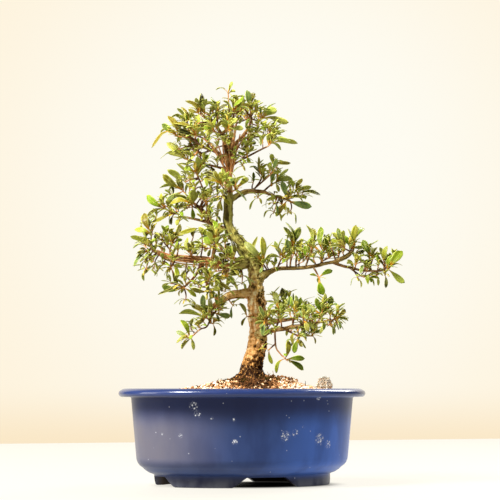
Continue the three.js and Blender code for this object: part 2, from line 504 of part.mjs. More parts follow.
const joined = (solids) => solids.reduce((whole, solid) => whole.add(solid));

// The largest body of a cut solid, without the scraps that the cut leaves loose
function largestBody(solid) {
  return solid.decompose().reduce((best, body) => (body.volume() > best.volume() ? body : best));
}

// A round profile of [distance from the middle, height] turned into an oval: every ring is
// as wide as its profile says and longer by the difference between the pot's two sides.
function ovalGeometry(profile) {
  const geometry = new THREE.LatheGeometry(
    profile.map(([radius, height]) => new THREE.Vector2(radius, height)), POT_SEGMENTS);
  geometry.rotateX(Math.PI / 2);
  const lengthening = (RIM_LENGTH - RIM_WIDTH) / 2;
  const smallest = RIM_WIDTH / 8;
  const position = geometry.attributes.position;
  for (let i = 0; i < position.count; i++) {
    const [x, y] = [position.getX(i), position.getY(i)];
    position.setX(i, x + (x * lengthening) / Math.max(Math.hypot(x, y), smallest));
  }
  return geometry;
}

// A gap under the foot ring, as long as the pot, narrower at its rounded top
function footGap({ foot, top }, turn) {
  const outline = new THREE.Shape();
  outline.moveTo(-foot / 2, -1);
  outline.lineTo(foot / 2, -1);
  outline.lineTo(top / 2 + 4, FOOT_GAP_HEIGHT - 4);
  outline.quadraticCurveTo(top / 2 + 1, FOOT_GAP_HEIGHT, top / 2 - 4, FOOT_GAP_HEIGHT);
  outline.lineTo(4 - top / 2, FOOT_GAP_HEIGHT);
  outline.quadraticCurveTo(-top / 2 - 1, FOOT_GAP_HEIGHT, -top / 2 - 4, FOOT_GAP_HEIGHT - 4);
  const geometry = new THREE.ExtrudeGeometry(outline, {
    depth: RIM_LENGTH, bevelEnabled: false, curveSegments: 3,
  });
  geometry.translate(0, 0, -RIM_LENGTH / 2);
  geometry.rotateX(Math.PI / 2);
  geometry.rotateZ(turn);
  return toSolid(geometry);
}

function potSolid() {
  const rim = RIM_WIDTH / 2;
  const bodyTop = rim - LIP_OVERHANG;
  const bodyFoot = bodyTop - BODY_TAPER;
  const foot = rim - FOOT_SETBACK;
  const lipBase = POT_HEIGHT - LIP_HEIGHT;
  const body = toSolid(ovalGeometry([
    [0, FLOOR_UNDERSIDE], [foot - FOOT_WIDTH, FLOOR_UNDERSIDE], [foot - FOOT_WIDTH, 0],
    [foot, 0], [foot, FOOT_TOP], [foot + 5, FOOT_TOP + 1.6],
    [bodyFoot - 5.2, 18.5], [bodyFoot, 28], [bodyTop, lipBase],
    [rim - 2.5, lipBase + 0.4], [rim, lipBase + 3], [rim - 0.6, lipBase + 6],
    [rim - 5, POT_HEIGHT - 0.4], [rim - 11, POT_HEIGHT], [rim - 16, POT_HEIGHT - 0.8],
    [bodyTop - WALL, lipBase + 3], [bodyFoot - WALL + 0.6, 28],
    [bodyFoot - WALL - 9, FLOOR_TOP + 1], [bodyFoot - WALL - 16, FLOOR_TOP], [0, FLOOR_TOP],
  ]));
  const drains = [-DRAIN_HOLE_OFFSET, DRAIN_HOLE_OFFSET].map((x) => {
    const hole = new THREE.CylinderGeometry(DRAIN_HOLE_RADIUS, DRAIN_HOLE_RADIUS, 20, 14);
    hole.rotateX(Math.PI / 2);
    hole.translate(x, 0, FLOOR_TOP);
    return toSolid(hole);
  });
  const cuts = [footGap(FRONT_GAP, 0), footGap(END_GAP, Math.PI / 2), ...drains];
  return cuts.reduce((pot, cut) => pot.subtract(cut), body);
}

// A square plate round a point, standing on a level
function plateSolid(x, y, size, level, height) {
  const plate = new THREE.BoxGeometry(size, size, height);
  plate.translate(x, y, level + height / 2);
  return toSolid(plate);
}

// A thin grid that keeps the soil out of a drain hole
function drainScreenSolid(x) {
  let screen = plateSolid(x, 0, DRAIN_SCREEN_SIZE, FLOOR_TOP + GAP, DRAIN_SCREEN_THICKNESS);
  for (let row = 0; row < DRAIN_SCREEN_ROWS; row++) {
    for (let column = 0; column < DRAIN_SCREEN_ROWS; column++) {
      const [across, along] = [column, row].map(
        (k) => (k - (DRAIN_SCREEN_ROWS - 1) / 2) * DRAIN_SCREEN_PITCH);
      screen = screen.subtract(plateSolid(x + across, along, DRAIN_SCREEN_OPENING, FLOOR_TOP, 4));
    }
  }
  return screen;
}

// The soil's surface: a mound round the trunk with a low grain
function soilTop(x, y) {
  const trunk = fromView(TRUNK[2][0], TRUNK[2][1], TRUNK[2][2]);
  const away = Math.hypot(x - trunk.x, y - trunk.y) / SOIL_MOUND_REACH;
  const grain = Math.sin(0.43 * x + 1.3 * Math.sin(0.31 * y)) * Math.cos(0.37 * y + 0.29 * x);
  return SOIL_LEVEL + SOIL_MOUND * Math.exp(-away * away) + SOIL_RELIEF * grain;
}

function soilSolid(grownWood) {
  const rim = RIM_WIDTH / 2;
  const wallFoot = rim - LIP_OVERHANG - BODY_TAPER - WALL - GAP;
  const wallTop = rim - LIP_OVERHANG - WALL - GAP;
  const oval = ovalGeometry([
    [0, FLOOR_TOP + GAP], [wallFoot - 16.4, FLOOR_TOP + GAP], [wallFoot - 9, FLOOR_TOP + 1.6],
    [wallFoot + 0.2, 28.6], [wallTop - 0.3, SOIL_LEVEL - 2],
    ...SOIL_RINGS.map((share) => [wallTop * share, SOIL_LEVEL]),
  ]);
  const position = oval.attributes.position;
  for (let i = 0; i < position.count; i++) {
    if (position.getZ(i) < SOIL_LEVEL - 1) continue;
    position.setZ(i, soilTop(position.getX(i), position.getY(i)));
  }
  const place = fromView(SOIL_CLUMP.across, SOIL_CLUMP.top, SOIL_CLUMP.depth);
  const clump = new THREE.SphereGeometry(SOIL_CLUMP.radius, 8, 5);
  clump.rotateX(Math.PI / 2);
  clump.scale(1, 1, SOIL_CLUMP.stretch);
  clump.translate(place.x, place.y, SOIL_CLUMP.top - SOIL_CLUMP.radius * SOIL_CLUMP.stretch);
  const recesses = [-DRAIN_HOLE_OFFSET, DRAIN_HOLE_OFFSET].map((x) => plateSolid(
    x, 0, DRAIN_SCREEN_SIZE + 2 * GAP, FLOOR_TOP, DRAIN_SCREEN_THICKNESS + 2 * GAP));
  const cuts = [...recesses, ...grownWood];
  const whole = toSolid(oval).add(toSolid(clump));
  return largestBody(cuts.reduce((soil, cut) => soil.subtract(cut), whole));
}

// A limb or root: a tapering tube along its route, with its radius at each point of the route
function limbSolid(route, { sides, steps, fluting = 0 }, grow) {
  const places = route.map(([across, up, depth]) => fromView(across, up, depth));
  const curve = new THREE.CatmullRomCurve3(places, false, "catmullrom", 0.5);
  const frames = curve.computeFrenetFrames(steps, false);
  const geometry = new THREE.CylinderGeometry(1, 1, 1, sides, steps);
  const position = geometry.attributes.position;
  for (let i = 0; i < position.count; i++) {
    const [x, y, z] = [position.getX(i), position.getY(i), position.getZ(i)];
    const step = Math.round((0.5 - y) * steps);
    const stage = curve.getUtoTmapping(step / steps);
    const before = Math.min(Math.floor(stage * (route.length - 1)), route.length - 2);
    const share = stage * (route.length - 1) - before;
    const radius = THREE.MathUtils.lerp(route[before][3], route[before + 1][3], share);
    const flutes = 1 + fluting * Math.sin(3 * Math.atan2(z, x) + 0.6 * step) * Math.hypot(x, z);
    const place = curve.getPoint(stage)
      .addScaledVector(frames.normals[step], x * (radius * flutes + grow))
      .addScaledVector(frames.binormals[step], z * (radius * flutes + grow));
    position.setXYZ(i, place.x, place.y, place.z);
  }
  return toSolid(geometry);
}

// All the wood as separate tubes, grown outwards by a margin
function woodTubes(grow) {
  return [
    limbSolid(TRUNK, TRUNK_FACES, grow),
    ...ROOTS.map((route) => limbSolid(route, ROOT_FACES, grow)),
    ...Object.values(LIMBS).map((route) => {
      const sides = route[0][3] > THICK_LIMB ? 5 : 4;
      const steps = Math.max(3, Math.ceil(route.length * LIMB_STEPS_PER_POINT));
      return limbSolid(route, { sides, steps }, grow);
    }),
  ];
}

// The place on a carrier's route that is seen nearest to a point of the front view
function rootOnCarrier(route, [across, up]) {
  let nearest = null;
  let least = Infinity;
  for (let k = 0; k + 1 < route.length; k++) {
    for (let share = 0; share <= 1; share += 0.05) {
      const point = [0, 1, 2].map((i) => THREE.MathUtils.lerp(route[k][i], route[k + 1][i], share));
      const away = Math.hypot(point[0] - across, point[1] - up);
      if (away < least) {
        least = away;
        nearest = point;
      }
    }
  }
  return nearest;
}

// A shell is put together from corner points and triangles. A quad is given by its corners'
// numbers, anticlockwise as seen from outside, and is split along one of its two diagonals.
function quadFaces([a, b, c, d], otherDiagonal = false) {
  return otherDiagonal ? [a, b, d, b, c, d] : [a, b, c, a, c, d];
}

function addQuad(shell, quad, otherDiagonal) {
  shell.faces.push(...quadFaces(quad, otherDiagonal));
}

function addCorners(shell, corners) {
  shell.points.push(...corners);
  return corners.map((_, k) => shell.points.length - corners.length + k);
}

function shellSolid({ points, faces }) {
  return new wasm.Manifold(new wasm.Mesh({
    numProp: 3,
    vertProperties: new Float32Array(points.flatMap((point) => point.toArray())),
    triVerts: new Uint32Array(faces),
  }));
}

// The middle of a few points
function centreOf(points) {
  return points.reduce((sum, point) => sum.add(point), new THREE.Vector3()).divideScalar(points.length);
}

// The cross-sections of one arched blade with rounded shoulders, as far as its tip
function bladeSections({ base, tip, side, width, arch, broad }, grow) {
  const along = tip.clone().sub(base);
  const length = along.length();
  const direction = along.clone().normalize();
  const across = side.clone().addScaledVector(direction, -side.dot(direction)).normalize();
  const normal = direction.clone().cross(across);
  if (normal.z < 0) {
    across.negate();
    normal.negate();
  }
  return (broad ? BROAD_LEAF_OUTLINE : LEAF_OUTLINE).map(([t, share]) => {
    const middle = base.clone().addScaledVector(along, t + (t === 1 ? grow / length : 0));
    middle.addScaledVector(normal, arch * length * 4 * t * (1 - t));
    const [half, thick] = [(width * share) / 2 + grow, LEAF_THICKNESS / 2 + grow];
    return [[-1, -1], [1, -1], [1, 1], [-1, 1]].map(([x, y]) => middle.clone()
      .addScaledVector(across, x * half).addScaledVector(normal, y * thick));
  });
}

// Raises a blade from a quad of a shell. The blade's upper and lower faces are split alike.
function raiseBlade(shell, quad, leaf, grow = 0) {
  const corners = quad.map((corner) => shell.points[corner]);
  const sections = bladeSections(leaf, grow);
  const offset = centreOf(sections[0]).sub(centreOf(corners));
  const mismatch = (shift) => corners.reduce((sum, corner, k) => {
    const moved = corner.clone().add(offset);
    return sum + moved.distanceToSquared(sections[0][(k + shift) % 4]);
  }, 0);
  const shift = [0, 1, 2, 3].reduce((best, next) => (mismatch(next) < mismatch(best) ? next : best));
  let lower = quad;
  for (const section of sections) {
    const numbers = addCorners(shell, section);
    const upper = quad.map((_, k) => numbers[(k + shift) % 4]);
    for (let k = 0; k < 4; k++) {
      const next = (k + 1) % 4;
      addQuad(shell, [lower[k], lower[next], upper[next], upper[k]], (k + shift) % 4 === 2);
    }
    lower = upper;
  }
  addQuad(shell, lower);
}

// A blade alone, closed at its stalk and standing a little off the quad that it grows from
function bladeSolid(corners, leaf, grow) {
  const shell = { points: [], faces: [] };
  const outward = centreOf(bladeSections(leaf, 0)[0]).sub(leaf.base).normalize();
  const stalk = addCorners(shell, corners.map((corner) => corner.clone().addScaledVector(outward, GAP)));
  addQuad(shell, [...stalk].reverse());
  raiseBlade(shell, stalk, leaf, grow);
  return shellSolid(shell);
}

// The leaves that end where the front view shows a tip
function seenLeaves({ tips }, { route, places }, random) {
  return tips.map(([across, up, breadth, givenWidth]) => {
    const [lean, girth, bend, roll] = [random(), random(), random(), random()];
    const base = places.at(-1);
    const tip = fromView(across, up, route.at(-1)[2] + (lean - 0.5) * TIP_DEPTH_SPREAD);
    const direction = tip.clone().sub(base).normalize();
    const facing = VIEW_DIRECTION.clone().addScaledVector(direction, -VIEW_DIRECTION.dot(direction));
    facing.normalize();
    const turned = (1 - breadth) * EDGE_ON_TURN * (roll < 0.5 ? -1 : 1);
    const side = direction.clone().cross(facing).multiplyScalar(Math.cos(turned));
    side.addScaledVector(facing, Math.sin(turned));
    return {
      tip, side,
      width: givenWidth ?? leafWidth(tip.distanceTo(base), girth),
      arch: LEAF_ARCH * (0.5 + bend),
      broad: breadth > FACING_BROAD,
    };
  });
}

// Further leaves, set round the twig's end at the golden angle
function furtherLeaves({ more }, { places, heading }, random) {
  const first = new THREE.Vector3().crossVectors(heading, UP);
  if (first.length() < 0.2) first.set(1, 0, 0);
  first.normalize();
  const second = heading.clone().cross(first);
  const start = random() * 2 * Math.PI;
  return Array.from({ length: more }, (_, k) => {
    const [spread, size, girth, bend] = [random(), random(), random(), random()];
    const around = start + k * GOLDEN_ANGLE;
    const open = THREE.MathUtils.lerp(...LEAF_SPREAD, spread);
    const outward = first.clone().multiplyScalar(Math.cos(around));
    outward.addScaledVector(second, Math.sin(around));
    const direction = heading.clone().multiplyScalar(Math.cos(open));
    direction.addScaledVector(outward, Math.sin(open)).addScaledVector(UP, LEAF_RISE).normalize();
    const length = LEAF_LENGTH * (0.85 + 0.4 * size);
    return {
      tip: places.at(-1).clone().addScaledVector(direction, length),
      side: direction.clone().cross(UP).addScaledVector(outward, LEAF_ROLL * (girth - 0.5)),
      width: leafWidth(length, girth),
      arch: LEAF_ARCH * (0.5 + bend),
      broad: size > LARGE_LEAF,
    };
  });
}

function leafWidth(length, girth) {
  const width = length * LEAF_SLENDERNESS * (0.85 + 0.3 * girth);
  return THREE.MathUtils.clamp(width, LEAF_WIDTH_LEAST, LEAF_WIDTH_MOST);
}

// What already stands: solids grown by the gap, with the limb or leafy stem that each belongs to
const standing = [];

function isClear(solid, own, others = standing) {
  const box = solid.boundingBox();
  return !others.some((other) => {
    if (other.name === own) return false;
    const apart = [0, 1, 2].some((i) => box.min[i] > other.box.max[i] || box.max[i] < other.box.min[i]);
    return !apart && solid.intersect(other.solid).volume() > TOUCHING_VOLUME;
  });
}

function stand(solid, name, others = standing) {
  others.push({ solid, name, box: solid.boundingBox() });
}

// A twig as rings of corners: long steps first, then a short one for each row of leaves
function twigRings(places, radii, rows, grow = 0) {
  const curve = new THREE.CatmullRomCurve3(places, false, "catmullrom", 0.5);
  const leafy = Math.min(LEAFY_SHARE_MOST, (rows * LEAF_ROW) / curve.getLength());
  const plain = places.length - 1;
  const shares = [
    ...Array.from({ length: plain }, (_, k) => (k / plain) * (1 - leafy)),
    ...Array.from({ length: rows + 1 }, (_, k) => 1 - leafy + (k / rows) * leafy),
  ];
  let normal = new THREE.Vector3().crossVectors(curve.getTangentAt(0), VIEW_DIRECTION);
  if (normal.length() < 0.2) normal.set(1, 0, 0);
  return shares.map((share) => {
    const tangent = curve.getTangentAt(share);
    normal = normal.clone().addScaledVector(tangent, -normal.dot(tangent)).normalize();
    const binormal = tangent.clone().cross(normal);
    const radius = THREE.MathUtils.lerp(radii[0], radii[1], share) + grow;
    return Array.from({ length: TWIG_SIDES }, (_, k) => {
      const around = (k * 2 * Math.PI) / TWIG_SIDES;
      return curve.getPointAt(share)
        .addScaledVector(normal, radius * Math.cos(around))
        .addScaledVector(binormal, radius * Math.sin(around));
    });
  });
}

// The twig's shell without the quads that leaves can grow from, which are listed instead
function twigShell(rings, rows) {
  const shell = { points: [], faces: [] };
  const numbers = rings.map((ring) => addCorners(shell, ring));
  const sites = [];
  addQuad(shell, [...numbers[0]].reverse());
  for (let r = 0; r + 1 < numbers.length; r++) {
    for (let k = 0; k < TWIG_SIDES; k++) {
      const next = (k + 1) % TWIG_SIDES;
      const quad = [numbers[r][k], numbers[r][next], numbers[r + 1][next], numbers[r + 1][k]];
      if (r + 1 < numbers.length - rows) addQuad(shell, quad);
      else sites.push(quad);
    }
  }
  sites.push(numbers.at(-1));
  return { shell, sites };
}

function closedSolid({ shell, sites }) {
  const faces = [...shell.faces, ...sites.flatMap((quad) => quadFaces(quad))];
  return shellSolid({ points: shell.points, faces });
}

// A twig from its carrier, with enough rows of sites for its leaves
function growTwig({ path, tips, more }, carrier, radii, name) {
  const rows = Math.ceil((tips.length + more + SPARE_SITES) / TWIG_SIDES);
  const route = [rootOnCarrier(carrier, path[0]), ...path.slice(1)];
  const places = route.map((point) => fromView(...point));
  stand(closedSolid(twigShell(twigRings(places, radii, rows, GAP), rows)), name);
  return {
    route, places, ...twigShell(twigRings(places, radii, rows), rows),
    heading: places.at(-1).clone().sub(places.at(-2)).normalize(),
  };
}

// Raises a leaf from the free quad of a twig that faces its way best. It has to clear the other
// stems and its own stem's leaves, and is tried at other depths where it doesn't.
function growLeaf(leaf, twig, name, neighbours) {
  const facing = twig.sites.map((quad) => {
    const corners = quad.map((corner) => twig.shell.points[corner]);
    const base = centreOf(corners);
    const outward = corners[2].clone().sub(corners[0]).cross(corners[3].clone().sub(corners[1]));
    return { quad, corners, base, fit: outward.normalize().dot(leaf.tip.clone().sub(base).normalize()) };
  });
  const sites = facing.filter(({ fit }) => fit > SITE_FIT_LEAST);
  sites.sort((one, other) => other.fit - one.fit);
  for (const shift of DEPTH_SHIFTS) {
    for (const { quad, corners, base } of sites.slice(0, SITES_TRIED)) {
      const placed = { ...leaf, base, tip: leaf.tip.clone().addScaledVector(VIEW_DIRECTION, shift) };
      const solid = bladeSolid(corners, placed, 0);
      if (isClear(solid, name) && isClear(solid, "", neighbours)) {
        stand(bladeSolid(corners, placed, GAP), name);
        stand(solid, name, neighbours);
        raiseBlade(twig.shell, quad, placed);
        twig.sites.splice(twig.sites.indexOf(quad), 1);
        return;
      }
    }
  }
}

function spraySolid(spray, random) {
  const solids = [];
  const neighbours = [];
  let carrier = spray.limb === "trunk" ? TRUNK : LIMBS[spray.limb];
  spray.twigs.forEach((plan, k) => {
    const twig = growTwig(plan, carrier, k === 0 ? STEM_RADII : SIDE_TWIG_RADII, spray.name);
    if (k === 0) carrier = twig.route;
    stand(closedSolid(twig), spray.name, neighbours);
    const leaves = [
      ...seenLeaves(plan, twig, random),
      ...furtherLeaves(plan, twig, random),
    ];
    leaves.forEach((leaf) => growLeaf(leaf, twig, spray.name, neighbours));
    solids.push(closedSolid(twig));
  });
  return joined(solids);
}

const material = (color, roughness) => new THREE.MeshStandardMaterial({ color, roughness });
const finishes = {
  pot: material(0x2b3f86, 0.2),
  soil: material(0xa8764a, 0.95),
  screen: material(0x1d1f1e, 0.6),
  wood: material(0x8a6743, 0.9),
  leaf: material(0x6f8f34, 0.55),
};

const pieces = new THREE.Group();
function addPiece(name, solid, finish) {
  const mesh = new THREE.Mesh(toGeometry(solid), finish);
  mesh.name = name;
  pieces.add(mesh);
}

const grownWood = woodTubes(GAP);
grownWood.forEach((tube) => stand(tube, "trunk"));

addPiece("pot", potSolid(), finishes.pot);
addPiece("drain_screen_1", drainScreenSolid(-DRAIN_HOLE_OFFSET), finishes.screen);
addPiece("drain_screen_2", drainScreenSolid(DRAIN_HOLE_OFFSET), finishes.screen);
addPiece("soil", soilSolid(grownWood), finishes.soil);
addPiece("trunk", joined(woodTubes(0)), finishes.wood);

const woodWithGap = joined(grownWood);
SPRAYS.forEach((spray, k) => {
  const whole = spraySolid(spray, randomSequence(SEED + k));
  addPiece(spray.name, largestBody(whole.subtract(woodWithGap)), finishes.leaf);
});

// The origin is on the floor, under the middle of the whole object
const bonsai = new THREE.Group();
const middle = new THREE.Box3().setFromObject(pieces).getCenter(new THREE.Vector3());
pieces.position.set(-middle.x, -middle.y, 0);
bonsai.add(pieces);

export default bonsai;
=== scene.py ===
"""Satsuki azalea bonsai in a glazed oval pot: bark, twigs, leaves, soil, glaze and the studio.

The packed model gives the frame. Lengths here are millimetres, and a piece is made metres when
it is finished. The tree's routes are written as they are seen from the front: across from the
pot's middle, up from the floor and depth away from the viewer.
"""

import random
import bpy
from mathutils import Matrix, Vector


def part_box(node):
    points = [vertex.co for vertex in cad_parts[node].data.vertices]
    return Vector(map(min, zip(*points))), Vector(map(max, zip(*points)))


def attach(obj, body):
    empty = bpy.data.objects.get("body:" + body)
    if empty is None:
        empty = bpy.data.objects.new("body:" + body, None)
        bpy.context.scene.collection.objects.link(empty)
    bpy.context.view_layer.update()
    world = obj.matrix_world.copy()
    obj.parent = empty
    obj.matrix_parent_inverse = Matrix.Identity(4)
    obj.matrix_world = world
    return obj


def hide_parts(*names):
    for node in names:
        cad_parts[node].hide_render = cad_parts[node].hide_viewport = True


bl_info = {
    "name": "Satsuki Azalea Bonsai",
    "version": (1, 0, 0),
    "blender": (4, 5, 0),
    "location": "3D View > Sidebar > Bonsai",
    "description": "Dresses a small azalea tree with bark, leaves, soil and a glazed pot",
    "category": "Add Mesh",
}

from collections import namedtuple
from math import atan2, cos, degrees, exp, hypot, pi, radians, sin, sqrt, tau

import bmesh
import bpy
from mathutils import Matrix, Vector, noise
from mathutils.bvhtree import BVHTree
from mathutils.geometry import interpolate_bezier
from mathutils.kdtree import KDTree

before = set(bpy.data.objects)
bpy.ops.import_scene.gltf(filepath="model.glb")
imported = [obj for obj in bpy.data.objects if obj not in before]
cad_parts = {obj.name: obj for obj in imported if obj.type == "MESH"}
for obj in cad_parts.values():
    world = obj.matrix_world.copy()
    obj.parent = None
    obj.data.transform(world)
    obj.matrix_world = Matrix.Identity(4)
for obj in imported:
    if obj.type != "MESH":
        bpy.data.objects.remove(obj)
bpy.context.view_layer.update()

MM = 0.001
POT_LOW, POT_HIGH = (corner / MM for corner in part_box("pot"))
POT_MIDDLE = (POT_LOW + POT_HIGH) / 2

# The front view that the routes are written in
VIEW_TURN = Matrix.Rotation(radians(-21), 3, "Z")
VIEW_DISTANCE = 2000
VIEW_ACROSS = 7
VIEW_HEIGHT = 98.5
FRAME_MIDDLE_HEIGHT = 233.5
UP = Vector((0, 0, 1))
DOWN = Vector((0, 0, -1))
ORIGIN = (0, 0, 0)
BLACK = (0, 0, 0)
AWAY = VIEW_TURN @ Vector((0, 1, 0))

# Pot: its length, width and height come from the frame
RIM_LENGTH = POT_HIGH.x - POT_LOW.x
RIM_WIDTH = POT_HIGH.y - POT_LOW.y
POT_HEIGHT = POT_HIGH.z
EXTRA_LENGTH = (RIM_LENGTH - RIM_WIDTH) / 2
LIP_HEIGHT = 8.4
LIP_OVERHANG = 12.5
BODY_TAPER = 5.2
WALL = 5.4
FLOOR_UNDERSIDE = 14
FLOOR_TOP = 19
EDGE_ROUND = 1.6
LIP_ROUND = 3.4
LIP_INNER_ROUND = 3.2
BELLY_ROUND = 12
INNER_BELLY_ROUND = 9
FOOT_SETBACK = 35.5
FOOT_WIDTH = 8
FOOT_TOP = 11.5
FOOT_GAP_HEIGHT = 9.8
FRONT_GAP = (69, 48)
END_GAP = (56, 40)
DRAIN_HOLE_RADIUS = 7
DRAIN_HOLE_OFFSET = 45
SHARP_EDGE = 38

# Soil: a clump that stands out of it, a low heap, and the damp ground round the trunk
SOIL_CLUMP = (81, 98, 0)
SOIL_CLUMP_REACH = 11
CLUMP_TINTS = (0.82, 1.1)
SOIL_HEAP = (40, 101, 0)
SOIL_HEAP_REACH = 15
SOIL_HEAP_RISE = 4.5
DAMP_ACROSS = 19
DAMP_TO_FRONT = 80
DAMP_TO_BACK = 24
DRY_FROM = 40
DRY_TO = 70
PALE_IN_DAMP = 0.74
ABOVE_SOIL = 130
ROOT_COVER = 4
GRAINS_A_BATCH = 120
MOSS_RING = (14, 34)
ROOTLETS = 22
WEED_STEMS = [
    (24.5, 112, -16), (27, 110.5, -14), (29.5, 113, -12), (31, 109, -18), (-24, 105, -12),
    (49, 106, -16), (36, 108, -10), (62, 103, -12),
]
SOIL_EDGE = RIM_WIDTH / 2 - LIP_OVERHANG - WALL
SOIL_SPREAD = 0.985

# Studio, in metres and degrees: the floor ends behind the pot, and its edge is turned
FLOOR_EDGE_AWAY = 1.55
FLOOR_EDGE_TURN = 20
FLOOR_SIZE = (6, 5.2)
WALL_SIZE = (8, 6)
WALL_AWAY = 4.5
WALL_MIDDLE_HEIGHT = 0.5
# The middle of the wall's painted pool of light
WALL_GLOW = (0.1, WALL_AWAY, 0.75)
LAMP_AIM_HEIGHT = 0.22

# Each lamp: where it stands (across, away, up), its size and its colour
LAMPS = {
    "key": ((-1.1, -0.9, 1.8), (0.7, 0.7), (1, 0.98, 0.93)),
    "window": ((-1.9, -0.3, 0.62), (0.9, 1.2), (1, 0.98, 0.96)),
    "back": ((0.9, 1.1, 1.3), (0.7, 0.7), (1, 0.97, 0.9)),
    "fill": ((1.7, -0.8, 0.75), (1.4, 1), (1, 0.98, 0.94)),
}

# Leaves: the same seeded draws place them as in the part. Other draws use multiples of the seed
SEED = 20417
LEAF_SLENDERNESS = 0.38
LEAF_WIDTH_LEAST = 4.4
LEAF_WIDTH_MOST = 8.6
LEAF_ARCH = 0.11
LEAF_LENGTH = 15.5
LEAF_ROW = 1.8
LEAVES_A_ROW = 4
TIP_DEPTH_SPREAD = 12
EDGE_ON_TURN = 1.35
LEAF_SPREAD = (0.65, 1.25)
LEAF_RISE = 0.25
LEAF_ROLL = 0.3
GOLDEN_ANGLE = pi * (3 - sqrt(5))
DEPTH_SHIFTS = (0, 5, -5, 10, -10, 15, -15, 20, -20)
NEAR_A_TIP = 0.8
LEAF_WIDTH_KEPT = 0.9
YOUNG_LEAF_RISE = 0.5
YOUNG_LEAF_LENGTHS = (6.5, 12)
LOWER_LEAF_LENGTHS = (9, 14.5)
SHORT_LEAF = 11
# Painted shade on a leaf's tint: edge-on leaves much darker, broad seen ones a little, leaves near the
# wood darker and those far from it a little lighter
EDGE_ON_SHADE = 0.5
FACE_ON_SHADE = 0.88
NEAR_WOOD_SHADE = 0.5
AWAY_FROM_WOOD_SHADE = 1.05
OPEN_SPRAYS = {"crown_top", "right_hanging_leaf", "right_hanging", "beside_trunk"}

# From the outside of a rosette to its inside
ROSETTE_OPENINGS = (1.15, 0.3)
ROSETTE_LENGTHS = (13.5, 7.5)
ROSETTE_AGES = (0.15, 0.85)
ROSETTE_RISES = (0.3, 0.55)

# On each limb, and on some of the sprays: the share of greyish leaves, which are partly a painted
# sheen, the share of fresh green ones, and how light they all are, a painted shade that darkens their
# tint
LIMB_LOOKS = {
    "right_low": (0.4, 0.45, 0.66), "right_high": (0.4, 0.3, 0.65), "left_low": (0.3, 0.45, 0.75),
    "right": (0.1, 0.8, 0.54), "right_lower": (0.05, 0.95, 0.68), "left_mid": (0.1, 0.5, 0.78),
    "left_high": (0.15, 0.5, 0.75),
}
LIMB_LOOKS_USUAL = (0.12, 0.22, 0.99)
SPRAY_LOOKS = {"right_hanging_leaf": (0, 1, 0.9), "right_hanging": (0, 1, 0.9)}

# A blade's outline from its foot to its tip: (share of its length, share of its width)
GROWN_OUTLINE = (
    (0, 0.13), (0.13, 0.16), (0.3, 0.42), (0.5, 0.8), (0.68, 1), (0.83, 0.95), (0.94, 0.68),
    (1, 0.26))
YOUNG_OUTLINE = ((0, 0.15), (0.2, 0.24), (0.48, 0.8), (0.74, 1), (0.92, 0.7), (1, 0.24))

# Twigs, from the radius at the foot to the radius at the tip
TWIG_RADII = (1.05, 0.62)
SIDE_TWIG_RADII = (0.9, 0.55)
SHOOT_RADII = (0.6, 0.42)
SHOOT_SPACING = 8.5
SHOOTS_MOST = 5
SHOOT_CLEARANCE = 3.5

# Where the trunk's bark changes, up from the floor, and the radii of thick wood and of thin
CRACKS_START = (96, 112)
CRACKS_END = (262, 290)
DAMP_END = (111, 146)
MOSS_START = (165, 232)
MOSS_END = (288, 305)
THICK_WOOD = (3, 5)
THIN_WOOD = 4.2
TWIG_WOOD = 2.6
KNOTTED_WOOD = 2.5

# Scars and swellings seen on the trunk: (across, up, radius, rise), with a hollow below 0
KNOTS = [
    (9, 144, 6, 1.0), (15.5, 137, 3.4, -1.7), (16, 142.5, 3, 1.1), (12, 131.5, 4, 0.9),
    (11.4, 126.5, 2.4, -1.1), (20.5, 181, 3, 1.3), (21, 169, 3.2, 1.2), (18.5, 196, 3, 1.1),
    (7, 165.5, 1.8, 1.3), (20, 154, 3, 0.9), (4, 112, 4, 1.2), (17, 110, 4.5, 1.2),
    (10, 205, 4, 1.1), (5, 226, 3, 1.0), (-8, 252, 2.6, 0.9), (-11, 300, 2, 0.7),
]

# Chips and lime marks seen on the glaze: (across, up, reach)
GLAZE_MARKS = [
    (-49, 78, 6), (-45, 70, 5), (-31, 66, 2.2), (-9, 64.5, 2.4), (-62, 48.5, 3), (-80, 50.5, 2),
    (42, 48, 7), (52, 51, 5), (60, 57, 2.2), (76, 45, 8), (84, 40, 6), (75, 86.5, 4), (-8, 42, 4),
]

# The wood that grew as one piece, each point as (across, up, depth, radius)
TRUNK = [
    (10, 62, 0, 14), (10, 84, 0, 18.5), (10.5, 98, 0, 17.5), (9, 106, 0, 13.5),
    (8.5, 114, 0, 11.5), (10.5, 124, 0, 9.7), (13.5, 134, 1, 9.4), (15, 144, 2, 9.2),
    (15, 154, 3, 8.3), (14, 174, 4, 9), (12.5, 189, 4, 8.6), (13, 200, 4, 7),
    (13, 212, 3, 7.6), (10, 222, 2, 8.2), (2.5, 232, 0, 7.4), (-4, 241, -2, 6.2),
    (-10, 249, -3, 5.4), (-14.5, 259, -3, 4.8), (-15, 274, -2, 4.9), (-14.5, 287, -1, 4.6),
    (-14.5, 302, 0, 3.7), (-14.5, 318, 0, 3.0), (-14, 330, 0, 2.6),
]

ROOTS = [
    [(3, 108, -4, 6), (-8, 102, -10, 5), (-20, 96, -16, 3.5), (-32, 84, -22, 2)],
    [(15, 108, 0, 6), (26, 101, 2, 5), (38, 94, 4, 3), (48, 82, 6, 1.8)],
    [(9, 107, -8, 6), (10, 100, -20, 5), (12, 92, -32, 3.2), (14, 80, -42, 1.8)],
    [(4, 107, 6, 6), (-4, 100, 18, 5), (-12, 92, 30, 3.2), (-18, 80, 40, 1.8)],
    [(14, 107, 6, 6), (22, 101, 16, 4.6), (32, 92, 26, 3), (40, 80, 34, 1.8)],
]

